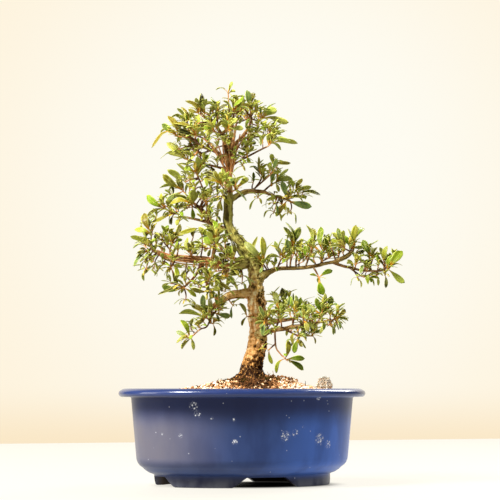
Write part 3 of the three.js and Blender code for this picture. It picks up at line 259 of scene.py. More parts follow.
LIMBS = {
    "right": [(12, 206, 3, 6), (20, 208.5, 1, 4.6), (27, 212, -2, 2.8), (37, 215, -5, 2.1),
     (57, 215.5, -9, 1.9), (72, 217.5, -10, 1.9), (82, 220, -9, 1.7), (90, 221.5, -8, 1.7),
     (97, 224, -8, 2.3), (104, 227.5, -8, 2.4), (109, 232, -8, 1.8)],
    "right_lower": [(88, 221.5, -8, 1.5), (100, 217.5, -5, 1.5), (109, 215.5, -2, 1.4),
     (119, 213, 2, 1.2), (132, 212.5, 5, 1.1), (141, 213, 6, 1)],
    "right_high": [(-14, 283, -1, 3.4), (-6, 288, 3, 2.7), (0, 291, 6, 2.9), (7, 292.5, 9, 2.4),
     (19, 292, 13, 2), (27, 289.5, 16, 1.5), (37, 286, 19, 1.2), (47, 283.5, 22, 1)],
    "right_low": [(15, 148, 2, 4), (21, 150, -4, 3.2), (27, 152.5, -9, 2.6), (34, 154, -14, 2.3),
     (42, 155, -17, 2.1), (50, 157, -20, 1.9), (60, 158, -22, 1.8), (70, 160, -24, 1.5),
     (82, 162.5, -25, 1.2), (92, 164, -26, 0.9)],
    "left_low": [(9, 190, 3, 6), (-3, 189.5, 0, 4.2), (-13, 188, -4, 4), (-21, 183, -7, 3.4),
     (-29, 177.5, -10, 2.5), (-35, 175.5, -12, 1.6)],
    "left_mid": [(5, 221, 1, 6), (-3, 218, -4, 4.4), (-13, 217.5, -9, 2.8), (-23, 218.5, -13, 2.4),
     (-35, 223, -16, 2.6), (-48, 224, -18, 2.6), (-63, 225, -20, 2.4), (-75, 226.5, -22, 2.2),
     (-86, 231, -24, 1.8), (-93, 236, -25, 1.4)],
    "left_mid_drop": [(-42, 223, -17, 1.6), (-44, 214, -20, 1.6), (-50, 205, -23, 1.3),
     (-59, 196, -26, 1)],
    "left_inner_drop": [(-36, 222, -17, 1.5), (-37, 209, -24, 1.4), (-36, 194, -30, 1)],
    "left_inner_rise": [(-31, 221.5, -15, 1.8), (-29, 233, -18, 1.8), (-26, 243, -22, 1.3)],
    "left_high": [(-13, 256, -3, 3), (-18, 255, 1, 2.2), (-31, 260, 8, 1.8), (-38, 262, 11, 1.6),
     (-48, 264.5, 14, 1.3), (-60, 267, 18, 1.2), (-66, 270, 20, 1.1)],
    "left_high_fan": [(-34, 261, 9, 1.8), (-36, 266, 10, 3), (-42, 274, 10, 2.4),
     (-50, 281, 10, 1.4)],
    "left_high_rise": [(-36, 266, 10, 1.6), (-36, 279, 4, 1.2), (-39, 292, 0, 1),
     (-43, 302, -2, 0.9), (-46, 311, -3, 0.8)],
    "crown_middle": [(-14.5, 314, 0, 2.6), (-14, 334, 0, 2.3), (-13, 346, -1, 2),
     (-11, 359, -2, 1.6), (-9, 371, -3, 1.2)],
    "crown_left": [(-15, 318, -1, 2.4), (-17, 334, -6, 2.2), (-20, 346, -12, 1.9),
     (-26, 357, -17, 1.5), (-30, 362, -20, 1.2)],
    "crown_right": [(-14, 318, 1, 2.4), (-8, 339, 6, 2), (-2, 346, 11, 1.8), (5, 356, 15, 1.4),
     (9, 366, 18, 1.1)],
    "crown_far_left": [(-17, 326, -2, 1.8), (-31, 334, -2, 1.6), (-40, 337, -1, 1.4),
     (-46, 341, 0, 1.1)],
    "crown_low_left": [(-15, 314, 0, 1.6), (-28, 317.5, 5, 1.2), (-38, 320, 9, 1.1)],
    "crown_low_right": [(-14, 316, 0, 1.5), (-7, 321, -3, 1.1), (0, 325, -5, 0.95)],
    "crown_back": [(-14, 322, 2, 2.2), (-12, 334, 16, 2), (-9, 348, 30, 1.6), (-7, 360, 42, 1.1)],
    "crown_back_left": [(-14.5, 318, 2, 2.2), (-24, 330, 20, 1.8), (-36, 344, 38, 1.2)],
    "back": [(8, 222, 2, 4.5), (2, 222, 18, 3.4), (-8, 224, 36, 2.4), (-18, 230, 52, 1.6),
     (-24, 238, 62, 1.1)],
    "back_low": [(15, 160, 3, 4.2), (24, 161, 22, 3), (38, 163, 42, 2.2), (54, 165, 60, 1.3)],
}

# How far each limb is covered with moss and lichen, or with fresh bark where it is below 0
LIMB_MOSS = {
    "right": 0.85, "right_lower": 0.4, "right_high": 0.7, "right_low": 0.6, "left_low": 0,
    "left_mid": 0.1, "left_mid_drop": -0.8, "left_inner_drop": -0.4, "left_high": 0.5, "back": 0.6,
}
LIMB_MOSS_USUAL = 0.3

# Thin stems that run along the left limb: rise over it, depth from it and radius
LEFT_STEM_SAG = 2.2
LEFT_STEMS = [
    (3.6, -2.6, 0.85), (1.4, -3.8, 0.75), (-0.9, -3.6, 0.8), (-3.2, -2.2, 0.7), (5.4, -0.6, 0.65),
]

# Thin stems that rise beside the trunk into the crown, from radius to radius
CROWN_STEM_RADII = (1.15, 0.6)
CROWN_STEMS = [
    [(-18, 297, -4), (-19, 312, -6), (-22, 330, -12), (-28, 346, -19)],
    [(-13, 300, -5), (-12, 316, -8), (-14, 332, -12), (-16, 349, -18)],
    [(-15, 306, -5), (-17, 320, -8), (-20, 334, -14), (-20, 348, -20)],
    [(-12, 308, -4), (-9, 322, -6), (-6, 336, -6), (-3, 350, -4)],
    [(-16, 312, -4), (-24, 326, -8), (-32, 338, -12), (-40, 346, -14)],
    [(-12, 314, -3), (-8, 330, 0), (-2, 342, 4), (4, 352, 8)],
    [(-14, 304, -5), (-11, 322, -9), (-9, 340, -11), (-9, 356, -10)],
]

# Where the short shoots of each limb end, inside the foliage: (across, up, depth)
INNER_SHOOTS = {
    "crown_middle": [(-9, 381, -8), (-17, 344, -12), (-9, 328, -12), (-2, 374, 2), (-20, 362, -8),
     (-14, 352, 10)],
    "crown_right": [(0, 378, 10), (15, 358, 8), (14, 350, 22), (6, 349, 0), (-1, 335, -4),
     (0, 326, 12), (2, 366, 24)],
    "crown_left": [(-33, 367, -14), (-47, 360, -12), (-25, 344, -25), (-26, 336, -16),
     (-18, 340, -18), (-40, 372, -24)],
    "crown_far_left": [(-64, 351, 6), (-41, 336, -12), (-64, 335, 4), (-49, 328, -10),
     (-34, 341, 8)],
    "crown_low_left": [(-26, 320, -8), (-57, 305, 6), (-33, 312, 10), (-46, 329, 14)],
    "crown_low_right": [(-1, 318, -12), (-8, 322, -12), (4, 330, 4)],
    "left_high_rise": [(-50, 303, -8), (-41, 303, -12), (-57, 302, 4), (-48, 294, -8),
     (-33, 295, -6)],
    "left_high_fan": [(-40, 287, -8), (-33, 286, -12), (-26, 296, -12), (-26, 288, -10),
     (-72, 287, 12), (-56, 275, 2)],
    "left_high": [(-80, 279, 14), (-65, 272, 4), (-73, 270, 10), (-64, 262, 4), (-34, 271, -8),
     (-41, 264, -4), (-87, 264, 16), (-33, 264, -6), (-26, 266, 2)],
    "left_mid": [(-41, 247, -26), (-50, 246, -10), (-87, 239, -18), (-65, 232, -30),
     (-65, 233, -10), (-81, 232, -14), (-88, 231, -32), (-90, 222, -30), (-97, 223, -20),
     (-89, 216, -22), (-97, 214, -28), (-57, 215, -12), (-49, 216, -28), (-18, 239, -22),
     (-25, 239, -10), (-17, 230, -16), (-2, 207, -12), (-1, 200, -6), (-72, 214, -16),
     (-80, 219, -30)],
    "left_mid_drop": [(-57, 207, -14), (-49, 208, -30), (-41, 208, -14), (-48, 199, -16),
     (-72, 200, -22), (-57, 200, -32), (-57, 184, -24)],
    "left_inner_drop": [(-26, 184, -24), (-18, 192, -26), (-28, 202, -32), (-44, 196, -30)],
    "left_low": [(-48, 175, -16), (-10, 178, -12), (-24, 172, -2)],
    "right_high": [(31, 287, 18), (31, 280, 8), (39, 279, 24), (31, 271, 12), (47, 271, 16),
     (15, 286, 4), (47, 295, 28), (10, 300, 16)],
    "right": [(31, 216, -12), (24, 217, 4), (71, 223, -16), (79, 223, -14), (87, 239, -2),
     (56, 221, -2), (100, 230, 2), (44, 221, -14)],
    "right_lower": [(135, 216, -2), (142, 208, 0), (134, 207, 12), (150, 226, 8), (122, 215, -8)],
    "right_low": [(87, 167, -30), (87, 159, -20), (94, 160, -22), (79, 161, -34), (47, 168, -14),
     (55, 151, -30), (31, 152, -24), (55, 144, -24), (66, 168, -18), (38, 162, -24),
     (60, 165, -12), (17, 161, -13), (21, 151, -11)],
}

# Each spray: its name, its limb and its twigs. Each twig: its route, which starts on the limb
# nearest to the first point (across, up, depth), the leaves that are seen (the tip's across and up,
# how broad it looks from 0 to 1, and a width if it isn't usual), and how many more there are, if any
SPRAYS = [
    ("crown_top", "crown_middle",
     ([(-12, 354), (-14, 374, -4), (-15, 392, -6)],
      [(-11, 403, 0.7), (-27, 395, 0.15), (-8, 394, 0.4)]),
     ([(-13, 366), (-9, 374, -10)],
      [(-7, 389, 0.7), (-2, 386, 0.7), (-12, 387, 0.5), (-20, 383, 0.15), (-3, 378, 0.4)], 3)),
    ("crown_high_left", "crown_left",
     ([(-26, 357), (-25, 372, -20)],
      [(-32, 387, 0.3), (-24, 386, 0.4), (-16, 380, 0.7), (-35, 376, 0.5), (-18, 371, 0.8)], 2),
     ([(-26, 364), (-37, 366, -24), (-46, 372, -26)],
      [(-42, 391, 0.6), (-47, 385, 1), (-57, 382, 0.3), (-31, 383, 0.15), (-55, 375, 0.8)])),
    ("crown_left", "crown_far_left",
     ([(-43, 339), (-49, 345, -3), (-57, 347, -4), (-67, 348, -4)],
      [(-75, 368, 0.6), (-81, 360, 0.8), (-83, 354, 0.3), (-91, 337, 0.2)]),
     ([(-48, 344), (-47, 349, -10)],
      [(-45, 358, 1), (-66, 354, 1), (-71, 362, 0.4), (-69, 357, 0.2), (-38, 350, 0.6)], 2),
     ([(-53, 346), (-55, 356, 4), (-57, 364, 8)],
      [(-66, 376, 0.6), (-62, 377, 0.4), (-67, 369, 0.5), (-72, 366, 0.2), (-51, 374, 0.7)])),
    ("crown_middle", "crown_left",
     ([(-21, 348), (-30, 354, -26)],
      [(-40, 357, 0.9), (-36, 362, 0.6), (-28, 365, 0.8), (-37, 350, 0.8), (-21, 364, 0.9)], 2),
     ([(-23, 350), (-18, 352, -20), (-14, 356, -26)],
      [(-6, 366, 0.8), (-14, 370, 0.6), (0, 356, 0.6), (-22, 362, 0.9), (-11, 346, 0.8)], 2)),
    ("crown_high_right", "crown_right",
     ([(7, 361), (8, 368, 17), (7, 375, 16)],
      [(4, 394, 0.8), (11, 393, 0.9), (15, 384, 0.5), (0, 381, 0.5), (14, 374, 0.7)]),
     ([(8, 366), (14, 364, 24), (19, 366, 28)],
      [(33, 376, 1, 10), (32, 381, 0.15), (45, 362, 0.4), (23, 357, 0.4)], 1)),
    ("crown_right", "crown_right",
     ([(-3, 345), (9, 347, 8), (19, 348, 6), (27, 351, 4)],
      [(36, 356, 0.5), (33, 362, 0.6), (38, 350, 0.3), (20, 360, 0.4)], 2),
     ([(4, 346), (5, 341, 2)], [(9, 335, 0.3), (1, 334, 0.7), (13, 341, 0.9), (14, 352, 0.5)])),
    ("crown_low_right", "crown_low_right",
     ([(-2, 324), (17, 334, -12), (25, 338, -15), (28, 341, -16)],
      [(27, 350, 0.5), (34, 348, 0.6), (54, 341, 0.15), (47, 343, 0.15), (38, 335, 0.2),
      (37, 355, 0.4)]),
     ([(4, 327), (4, 329, -10)], [(7, 321, 0.8), (-5, 332, 0.9)])),
    ("crown_low_left", "crown_low_left",
     ([(-36, 319.5), (-48, 322, 12), (-58, 325, 17)],
      [(-76, 341, 1), (-76, 333, 0.3), (-82, 326, 0.15), (-70, 330, 0.4), (-63, 336, 0.9)]),
     ([(-41, 320.5), (-43, 318, 5)], [(-35, 329, 1), (-50, 312, 0.8), (-59, 319, 0.2)], 2)),
    ("crown_inner_left", "crown_far_left",
     ([(-31, 334), (-42, 331, 4), (-50, 334, 8)],
      [(-54, 342, 0.9), (-61, 332, 0.3), (-50, 327, 0.7)], 3)),
    ("crown_back", "crown_back",
     ([(-8, 354), (-5, 368, 46)], [], 5),
     ([(-6, 361), (6, 366, 56)], [], 4),
     ([(-7, 357), (-20, 364, 54)], [], 4)),
    ("crown_back_left", "crown_back_left",
     ([(-33, 341), (-42, 352, 46)], [], 4),
     ([(-37, 345), (-52, 350, 40)], [], 4),
     ([(-36, 345), (-34, 356, 58)], [], 4)),
    ("front", "trunk",
     ([(-16, 290), (-20, 296, -14), (-21, 300, -18)],
      [(-29, 313, 0.9), (-38, 312, 0.9), (-40, 306, 0.6), (-21, 316, 0.5), (-14, 312, 0.6)], 1),
     ([(-18, 293), (-12, 292, -16), (-7, 294, -17)],
      [(5, 306, 1), (1, 308, 0.3), (-13, 306, 0.8), (3, 283, 0.3)]),
     ([(-17, 291), (-21, 286, -14)],
      [(-25, 274, 0.7), (-21, 273, 0.5), (-33, 283, 0.7), (-13, 279, 0.7)], 1)),
    ("left_high_1", "left_high_rise",
     ([(-43, 302), (-47, 311, -4)],
      [(-59, 316, 1), (-65, 319, 0.3), (-38, 317, 0.4), (-53, 306, 0.5)], 1)),
    ("left_high_2", "left_high_fan",
     ([(-48, 280), (-56, 288, 10), (-61, 294, 11)],
      [(-75, 314, 0.4), (-80, 309, 0.9), (-66, 320, 0.2), (-83, 296, 0.3), (-76, 284, 0.9)], 1)),
    ("left_high_3", "left_high_fan",
     ([(-42, 274), (-50, 277, 4), (-52, 279, 0)],
      [(-70, 289, 0.3), (-72, 280, 0.5), (-66, 276, 0.9), (-50, 265, 1), (-46, 291, 0.8)], 2),
     ([(-43, 274.5), (-38, 278, 0), (-37, 282, -6)],
      [(-35, 295, 0.5), (-41, 290, 0.6), (-28, 286, 0.8)])),
    ("left_high_4", "left_high",
     ([(-62, 268.5), (-69, 271, 20), (-78, 274.5, 19)],
      [(-96, 288, 0.9), (-82, 290, 0.6), (-96, 267, 0.2), (-88, 281, 0.4)]),
     ([(-68, 270.5), (-70, 269, 12)],
      [(-91, 261, 0.5), (-72, 259, 0.6), (-75, 277, 0.6), (-55, 262, 0.3)])),
    ("left_mid_1", "left_mid",
     ([(-90, 234), (-92, 244, -22), (-91, 250, -20)],
      [(-99, 270, 0.8), (-108, 254, 0.8), (-83, 247, 0.3), (-101, 262, 0.5)]),
     ([(-91, 238), (-94, 237, -32)], [(-112, 247, 0.5), (-99, 246, 1), (-88, 245, 0.8)]),
     ([(-91, 236), (-96, 232, -24)],
      [(-106, 225, 0.3), (-103, 235, 0.5), (-105, 230, 0.7), (-108, 217, 0.15),
      (-93, 224, 0.9)])),
    ("left_mid_2", "left_mid",
     ([(-72, 226), (-73, 234, -16), (-70, 241, -12)],
      [(-47, 255, 0.6), (-63, 259, 0.9), (-61, 244, 0.8), (-74, 252, 0.4)], 2),
     ([(-73, 234), (-81, 243, -12)],
      [(-75, 258, 0.6), (-70, 248, 0.3), (-85, 237, 0.7), (-86, 251, 0.6)])),
    ("left_mid_3", "left_mid",
     ([(-50, 225), (-52, 230, -26)],
      [(-55, 241, 0.9), (-44, 238, 0.9), (-63, 237, 0.2), (-46, 231, 0.8)], 3)),
    ("left_inner_high", "left_inner_rise",
     ([(-28, 238), (-26, 245, -24)],
      [(-44, 256, 0.7), (-36, 258, 0.8), (-29, 263, 0.9), (-20, 254, 0.7), (-44, 244, 0.5)], 1),
     ([(-27, 241), (-32, 236, -32)], [(-38, 246, 1, 9), (-35, 227, 0.9), (-22, 232, 0.6)], 1)),
    ("left_mid_4", "left_mid",
     ([(-67, 225.5), (-70, 219, -26), (-72, 216, -28)],
      [(-66, 200, 0.9), (-76, 204, 0.2), (-61, 216, 0.5), (-82, 221, 0.5)], 2)),
    ("left_drop", "left_mid_drop",
     ([(-56, 199), (-60, 195, -27)],
      [(-84, 189, 0.3), (-80, 196, 0.8), (-47, 187, 0.9), (-66, 204, 0.5)], 1)),
    ("left_inner_low", "left_inner_drop",
     ([(-36, 203), (-35, 192, -36)], [(-51, 195, 0.8), (-23, 195, 0.8), (-30, 187, 0.7)]),
     ([(-36, 201), (-33, 206, -42)],
      [(-41, 216, 0.5), (-31, 197, 0.8), (-45, 205, 0.7), (-33, 216, 0.8)])),
    ("left_inner_mid", "left_mid",
     ([(-18, 218), (-20, 211, -22), (-21, 206, -28)],
      [(-3, 212, 0.8), (-7, 198, 0.6), (-31, 207, 0.8), (-21, 192, 0.7), (-13, 194, 0.4)], 1)),
    ("left_front", "left_mid",
     ([(-9, 218), (-11, 222, -20)],
      [(-24, 230, 0.9), (-17, 236, 0.9), (-11, 243, 0.7), (1, 226, 0.5)], 1)),
    ("left_low", "left_low",
     ([(-32, 176), (-32, 167, -12), (-36, 157, -14), (-43, 154, -16), (-53, 145, -20)],
      [(-62, 163, 0.6), (-66, 152, 0.9), (-49, 134, 0.9), (-66, 141, 0.2), (-61, 135, 0.3)]),
     ([(-33, 164), (-38, 166, -20)],
      [(-40, 188, 0.6), (-33, 185, 0.6), (-51, 178, 0.7), (-63, 170, 0.6), (-48, 159, 0.9)]),
     ([(-32, 170), (-28, 171, -8)], [(-13, 167, 0.8), (-24, 162, 0.3)]),
     ([(-34, 160), (-30, 160, -9)], [(-29, 148, 0.7), (-19, 160, 0.2)])),
    ("right_high_1", "right_high",
     ([(8, 292.5), (17, 300, 8), (25, 307, 6), (30, 312, 4)],
      [(34, 325, 0.7), (27, 330, 0.2), (47, 321, 0.2), (24, 319, 0.6), (38, 312, 0.5)]),
     ([(13, 296), (18, 304, 12), (19, 309, 14)],
      [(16, 327, 0.4), (10, 318, 0.3), (24, 320, 0.5)])),
    ("right_high_2", "right_high",
     ([(20, 292), (28, 299, 20), (34, 302, 24)],
      [(40, 307, 0.9), (48, 306, 0.9), (44, 310, 0.5), (36, 292, 0.8)], 1)),
    ("right_high_3", "right_high",
     ([(41, 285), (50, 286, 23), (55, 289, 24)],
      [(59, 305, 0.6), (77, 289, 0.2), (68, 297, 0.3), (64, 287, 0.8)]),
     ([(45, 285.5), (44, 283, 14)],
      [(68, 277, 0.9), (59, 286, 0.3), (33, 268, 0.9), (24, 284, 0.3), (39, 302, 0.9),
      (43, 273, 0.3)])),
    ("right_mid_1", "right",
     ([(25, 211), (22, 217, -8), (19, 221, -12)],
      [(2, 241, 0.8), (19, 246, 0.8), (14, 247, 0.3), (29, 241, 0.2), (29, 229, 0.5),
      (5, 229, 0.4)])),
    ("right_mid_2", "right",
     ([(34, 214.5), (37, 222, -14), (40, 227, -18)],
      [(32, 242, 0.7), (44, 244, 0.7), (28, 238, 0.3), (35, 236, 0.9), (49, 232, 0.9),
      (26, 226, 0.3)], 1)),
    ("right_mid_3", "right",
     ([(47, 215.5), (48, 226, 2), (50, 238, 8)],
      [(41, 256, 0.5), (43, 260, 0.3), (57, 256, 0.9), (60, 244, 0.8), (42, 244, 0.6)], 1)),
    ("right_mid_4", "right",
     ([(62, 216), (66, 226, -14), (69, 232, -18)],
      [(64, 258, 0.3), (70, 256, 0.9), (76, 244, 0.4), (66, 244, 0.7)], 1),
     ([(65, 222), (62, 230, -6)], [(54, 235, 0.8), (59, 242, 0.5), (56, 228, 0.4)])),
    ("right_mid_5", "right",
     ([(77, 219), (80, 226, 2), (81, 231, 6)],
      [(78, 256, 0.6), (82, 249, 0.7), (86, 250, 0.3), (74, 250, 0.3), (87, 236, 0.7)]),
     ([(78, 222), (87, 226, 8)], [(92, 236, 0.4), (95, 228, 0.5)])),
    ("right_hanging_leaf", "right",
     ([(70, 216.5), (74, 210, -14), (76, 205, -16)],
      [(80, 189, 1, 9.5), (89, 213, 0.8), (67, 209, 0.7)])),
    ("right_end_high", "right",
     ([(105, 228.5), (108, 234, -8), (109, 237, -8)],
      [(113, 258, 0.9), (121, 256, 0.8), (105, 254, 0.3), (102, 248, 0.7), (120, 236, 1)]),
     ([(107, 232), (100, 236, -16)],
      [(95, 255, 0.7), (90, 251, 0.3), (100, 252, 0.7), (87, 238, 0.2), (89, 244, 0.8)]),
     ([(107, 231), (113, 229, 1)], [(121, 232, 0.8), (118, 221, 0.6)])),
    ("right_tip_1", "right_lower",
     ([(127, 213), (128, 219, 6), (130, 225, 8)],
      [(120, 243, 1, 9), (134, 236, 0.4), (122, 221, 0.3), (137, 230, 0.5)], 1)),
    ("right_under", "right_lower",
     ([(106, 216), (113, 211, -5), (119, 207, -6), (124, 206, -8)],
      [(136, 205, 0.6), (129, 202, 0.7), (134, 210, 0.4)]),
     ([(111, 213), (113, 219, -14)], [(128, 218, 0.4), (104, 221, 0.6), (117, 227, 0.8)])),
    ("right_tip_2", "right_lower",
     ([(138, 213), (143, 213, 6), (146, 215, 6)],
      [(159, 232, 1, 12), (159, 218, 0.3), (161, 201, 0.7), (150, 228, 0.5)]),
     ([(141, 213.5), (141, 221, 12)], [(137, 236, 0.4), (133, 229, 0.6), (144, 237, 0.4)])),
    ("right_low_1", "right_low",
     ([(25, 152), (24, 159, -15), (22, 163, -19)],
      [(16, 177, 0.6), (20, 148, 0.7), (34, 162, 0.5), (27, 173, 0.9), (12, 160, 0.7)])),
    ("right_low_2", "right_low",
     ([(33, 154), (35, 164, -8), (36, 174, -2)],
      [(32, 191, 0.9, 7), (22, 171, 0.8), (45, 180, 0.2), (29, 166, 0.3)]),
     ([(35, 165), (42, 172, 2), (46, 178, 5)],
      [(39, 195, 0.7), (50, 190, 0.4), (54, 176, 0.6)])),
    ("right_low_3", "right_low",
     ([(49, 157), (51, 166, -26), (52, 172, -30)],
      [(47, 187, 0.7), (53, 188, 0.6), (58, 186, 0.9), (62, 178, 0.9), (41, 172, 0.6)])),
    ("right_low_4", "right_low",
     ([(57, 158), (60, 160, -32), (61, 164, -37)],
      [(68, 174, 0.9), (73, 165, 0.3), (65, 152, 0.9), (71, 155, 0.6), (57, 174, 0.8)])),
    ("right_low_5", "right_low",
     ([(74, 161), (77, 166, -18), (79, 170, -12)],
      [(73, 185, 0.9), (80, 182, 0.9), (64, 178, 0.9), (85, 175, 0.9), (69, 167, 0.8)], 1),
     ([(77, 166), (85, 172, -6)], [(88, 187, 1, 7.5), (94, 166, 0.8)])),
    ("right_low_6", "right_low",
     ([(86, 163), (93, 164, -28)],
      [(102, 174, 0.9), (105, 163, 0.2), (97, 155, 0.4), (93, 176, 0.5)]),
     ([(90, 163.5), (85, 158, -33)], [(92, 150, 0.3), (77, 150, 0.4)])),
    ("right_low_7", "right_low",
     ([(40, 154.5), (48, 151, -19), (55, 148, -20), (69, 147.5, -19)],
      [(72, 140, 0.3), (69, 158, 0.8), (80, 154, 0.5)]),
     ([(53, 148.5), (56, 146, -26)], [(51, 131, 1, 7), (59, 137, 0.6), (61, 152, 0.8)])),
    ("right_hanging", "right_low",
     ([(32, 153), (32, 146, -14), (33, 136, -18), (37, 130, -20), (43, 124, -22)],
      [(61, 125, 0.9), (60, 114, 0.8), (33, 111, 0.6), (45, 143, 0.7)]),
     ([(32, 140), (26, 134, -13)], [(29, 120, 0.8)])),
    ("beside_trunk", "trunk",
     ([(9, 167), (4, 167, -10)], [(-3, 180, 0.7), (-1, 158, 0.4)])),
    ("back_1", "back",
     ([(-21, 234), (-26, 241, 66), (-30, 248, 70)], [], 5),
     ([(-25, 239), (-14, 245, 74)], [], 4),
     ([(-24, 238), (-38, 234, 64)], [], 4)),
    ("back_2", "back",
     ([(-9, 224.5), (-14, 214, 50), (-17, 206, 60)], [], 5),
     ([(-14, 214), (-27, 212, 58)], [], 4)),
    ("back_low_1", "back_low",
     ([(50, 165), (57, 168, 64), (62, 174, 68)], [], 5),
     ([(55, 167), (69, 164, 62)], [], 4)),
    ("back_low_2", "back_low",
     ([(36, 163), (36, 172, 46), (34, 178, 52)], [], 5)),
    ("right_back_1", "right",
     ([(53, 215.5), (53, 223, 12), (54, 232, 26)], [], 4)),
    ("right_back_2", "right",
     ([(95, 223), (96, 230, 8), (97, 237, 22)], [], 5)),
]


def from_view(across, up, depth):
    """The place in the part's frame of a point that is seen at (across, up) and lies at a depth."""
    widening = (VIEW_DISTANCE + depth) / VIEW_DISTANCE
    seen = Vector((
        VIEW_ACROSS + (across - VIEW_ACROSS) * widening,
        depth,
        VIEW_HEIGHT + (up - VIEW_HEIGHT) * widening,
    ))
    return VIEW_TURN @ seen + Vector((POT_MIDDLE.x, POT_MIDDLE.y, 0))


def lerp(start, end, share):
    return start + (end - start) * share


def clamp(value, low, high):
    return max(low, min(high, value))


def ease(value, low, high):
    """0 below the low value, 1 above the high one, and smooth between them."""
    share = clamp((value - low) / (high - low), 0, 1)
    return share * share * (3 - 2 * share)


def draws(seed):
    """An endless row of numbers from 0 to 1 that a seed settles, the same as the part's own."""
    whole = 0xFFFFFFFF
    state = seed
    while True:
        state = (state + 0x6D2B79F5) & whole
        mixed = ((state ^ (state >> 15)) * (1 | state)) & whole
        mixed = ((mixed + (((mixed ^ (mixed >> 7)) * (61 | mixed)) & whole)) & whole) ^ mixed
        yield ((mixed ^ (mixed >> 14)) & whole) / 4294967296


def srgb(red, green, blue):
    """A colour as a screen shows it, from 0 to 255, turned into linear light."""
    parts = [channel / 255 for channel in (red, green, blue)]
    return tuple(c / 12.92 if c <= 0.04045 else ((c + 0.055) / 1.055) ** 2.4 for c in parts)


Sample = namedtuple("Sample", "place tangent radius along share cover")


def smooth_strand(places, radii, cover=0, spacing=1.5):
    """Samples along a smooth curve through places, each with its radius."""
    padded = [2 * places[0] - places[1], *places, 2 * places[-1] - places[-2]]
    points = []
    for k in range(len(places) - 1):
        before, start, end, after = padded[k:k + 4]
        steps = max(2, round((end - start).length / spacing))
        curve = interpolate_bezier(
            start, start + (end - before) / 6, end - (after - start) / 6, end, steps + 1)
        for j, place in enumerate(curve[:-1]):
            share = (k + j / steps) / (len(places) - 1)
            points.append((place, lerp(radii[k], radii[k + 1], j / steps), share))
    points.append((places[-1], radii[-1], 1))
    samples = []
    along = 0
    for k, (place, radius, share) in enumerate(points):
        behind = points[max(k - 1, 0)][0]
        ahead = points[min(k + 1, len(points) - 1)][0]
        along += (place - behind).length
        tangent = (ahead - behind).normalized()
        samples.append(Sample(place, tangent, radius, along, share, cover))
    return samples


def route_strand(route, cover=0):
    """The strand of a route, with the share of it that moss or fresh skin covers."""
    places = [from_view(*point[:3]) for point in route]
    return smooth_strand(places, [point[3] for point in route], cover)


def evenly(radii, places):
    """A radius for each place, from the first radius to the second."""
    return [lerp(*radii, k / (len(places) - 1)) for k in range(len(places))]


def root_on_carrier(route, across, up):
    """The point of a carrier's route that is seen nearest to a point of the front view."""
    steps = 20
    on_route = [
        [lerp(route[k][i], route[k + 1][i], j / steps) for i in range(3)]
        for k in range(len(route) - 1) for j in range(steps + 1)
    ]
    return min(on_route, key=lambda point: hypot(point[0] - across, point[1] - up))


Twig = namedtuple("Twig", "route places heading radii")
Spray = namedtuple("Spray", "name limb twigs plans shoots")


def grow_twigs(limb, plans):
    """A spray's twigs: the first grows from its limb, and the others from the first."""
    carrier = TRUNK if limb == "trunk" else LIMBS[limb]
    twigs = []
    for k, (path, *_) in enumerate(plans):
        route = [root_on_carrier(carrier, *path[0]), *path[1:]]
        if k == 0:
            carrier = route
        places = [from_view(*point) for point in route]
        heading = (places[-1] - places[-2]).normalized()
        twigs.append(Twig(route, places, heading, SIDE_TWIG_RADII if k else TWIG_RADII))
    return twigs


def directions_round(heading):
    """Two directions at right angles to a heading and to each other."""
    first = heading.cross(UP)
    if first.length < 0.2:
        first = Vector((1, 0, 0))
    first.normalize()
    return first, heading.cross(first)


def side_shoots(twig, wood, chance):
    """Short leafy shoots along a twig, clear of the thick wood."""
    stretches = list(zip(twig.places, twig.places[1:]))
    length = sum((end - start).length for start, end in stretches)
    count = clamp(round(length / SHOOT_SPACING), 1, SHOOTS_MOST)
    shoots = []
    for k in range(count):
        position = (k + chance.uniform(0.35, 0.85)) / count * len(stretches)
        number = min(int(position), len(stretches) - 1)
        start, end = stretches[number]
        tangent = (end - start).normalized()
        first, second = directions_round(tangent)
        around = chance.uniform(0, tau)
        outward = first * cos(around) + second * sin(around)
        lean = tangent * chance.uniform(0.2, 0.9) + UP * chance.uniform(0.3, 1.1)
        heading = (outward * 0.7 + lean).normalized()
        base = start.lerp(end, position - number)
        tip = base + heading * chance.uniform(3.5, 10)
        if wood.find_nearest(tip * MM)[3] > SHOOT_CLEARANCE * MM:
            places = [base, base.lerp(tip, 0.5) + UP * 0.4, tip]
            shoots.append(Twig(None, places, heading, SHOOT_RADII))
    return shoots


def inner_shoots(limb, ends, chance):
    """Shoots that grow from a limb to the places where the foliage is dense."""
    shoots = []
    for across, up, depth in ends:
        tip = from_view(across, up, depth)
        root = from_view(*root_on_carrier(LIMBS[limb], across, up))
        wander = Vector((chance.uniform(-1, 1), chance.uniform(-1, 1), chance.uniform(0, 1)))
        bend = root.lerp(tip, 0.55) + wander * (tip - root).length * 0.1
        heading = ((tip - bend).normalized() + UP * 0.45).normalized()
        shoots.append(Twig(None, [root, bend, tip], heading, SIDE_TWIG_RADII))
    return shoots


def grow_sprays():
    """Every spray with its twigs and their side shoots."""
    wood = cad_tree("trunk")
    sprays = []
    for number, (name, limb, *plans) in enumerate(SPRAYS):
        chance = random.Random(2 * SEED + number)
        twigs = grow_twigs(limb, plans)
        shoots = [shoot for twig in twigs for shoot in side_shoots(twig, wood, chance)]
        if name in OPEN_SPRAYS:
            shoots = []
        sprays.append(Spray(name, limb, twigs, plans, shoots))
    return sprays


def grow_inside():
    """The leafy shoots inside the foliage, a spray for each limb that carries them."""
    chance = random.Random(3 * SEED)
    return [
        Spray("inner_" + limb, limb, [], [], inner_shoots(limb, ends, chance))
        for limb, ends in INNER_SHOOTS.items()
    ]


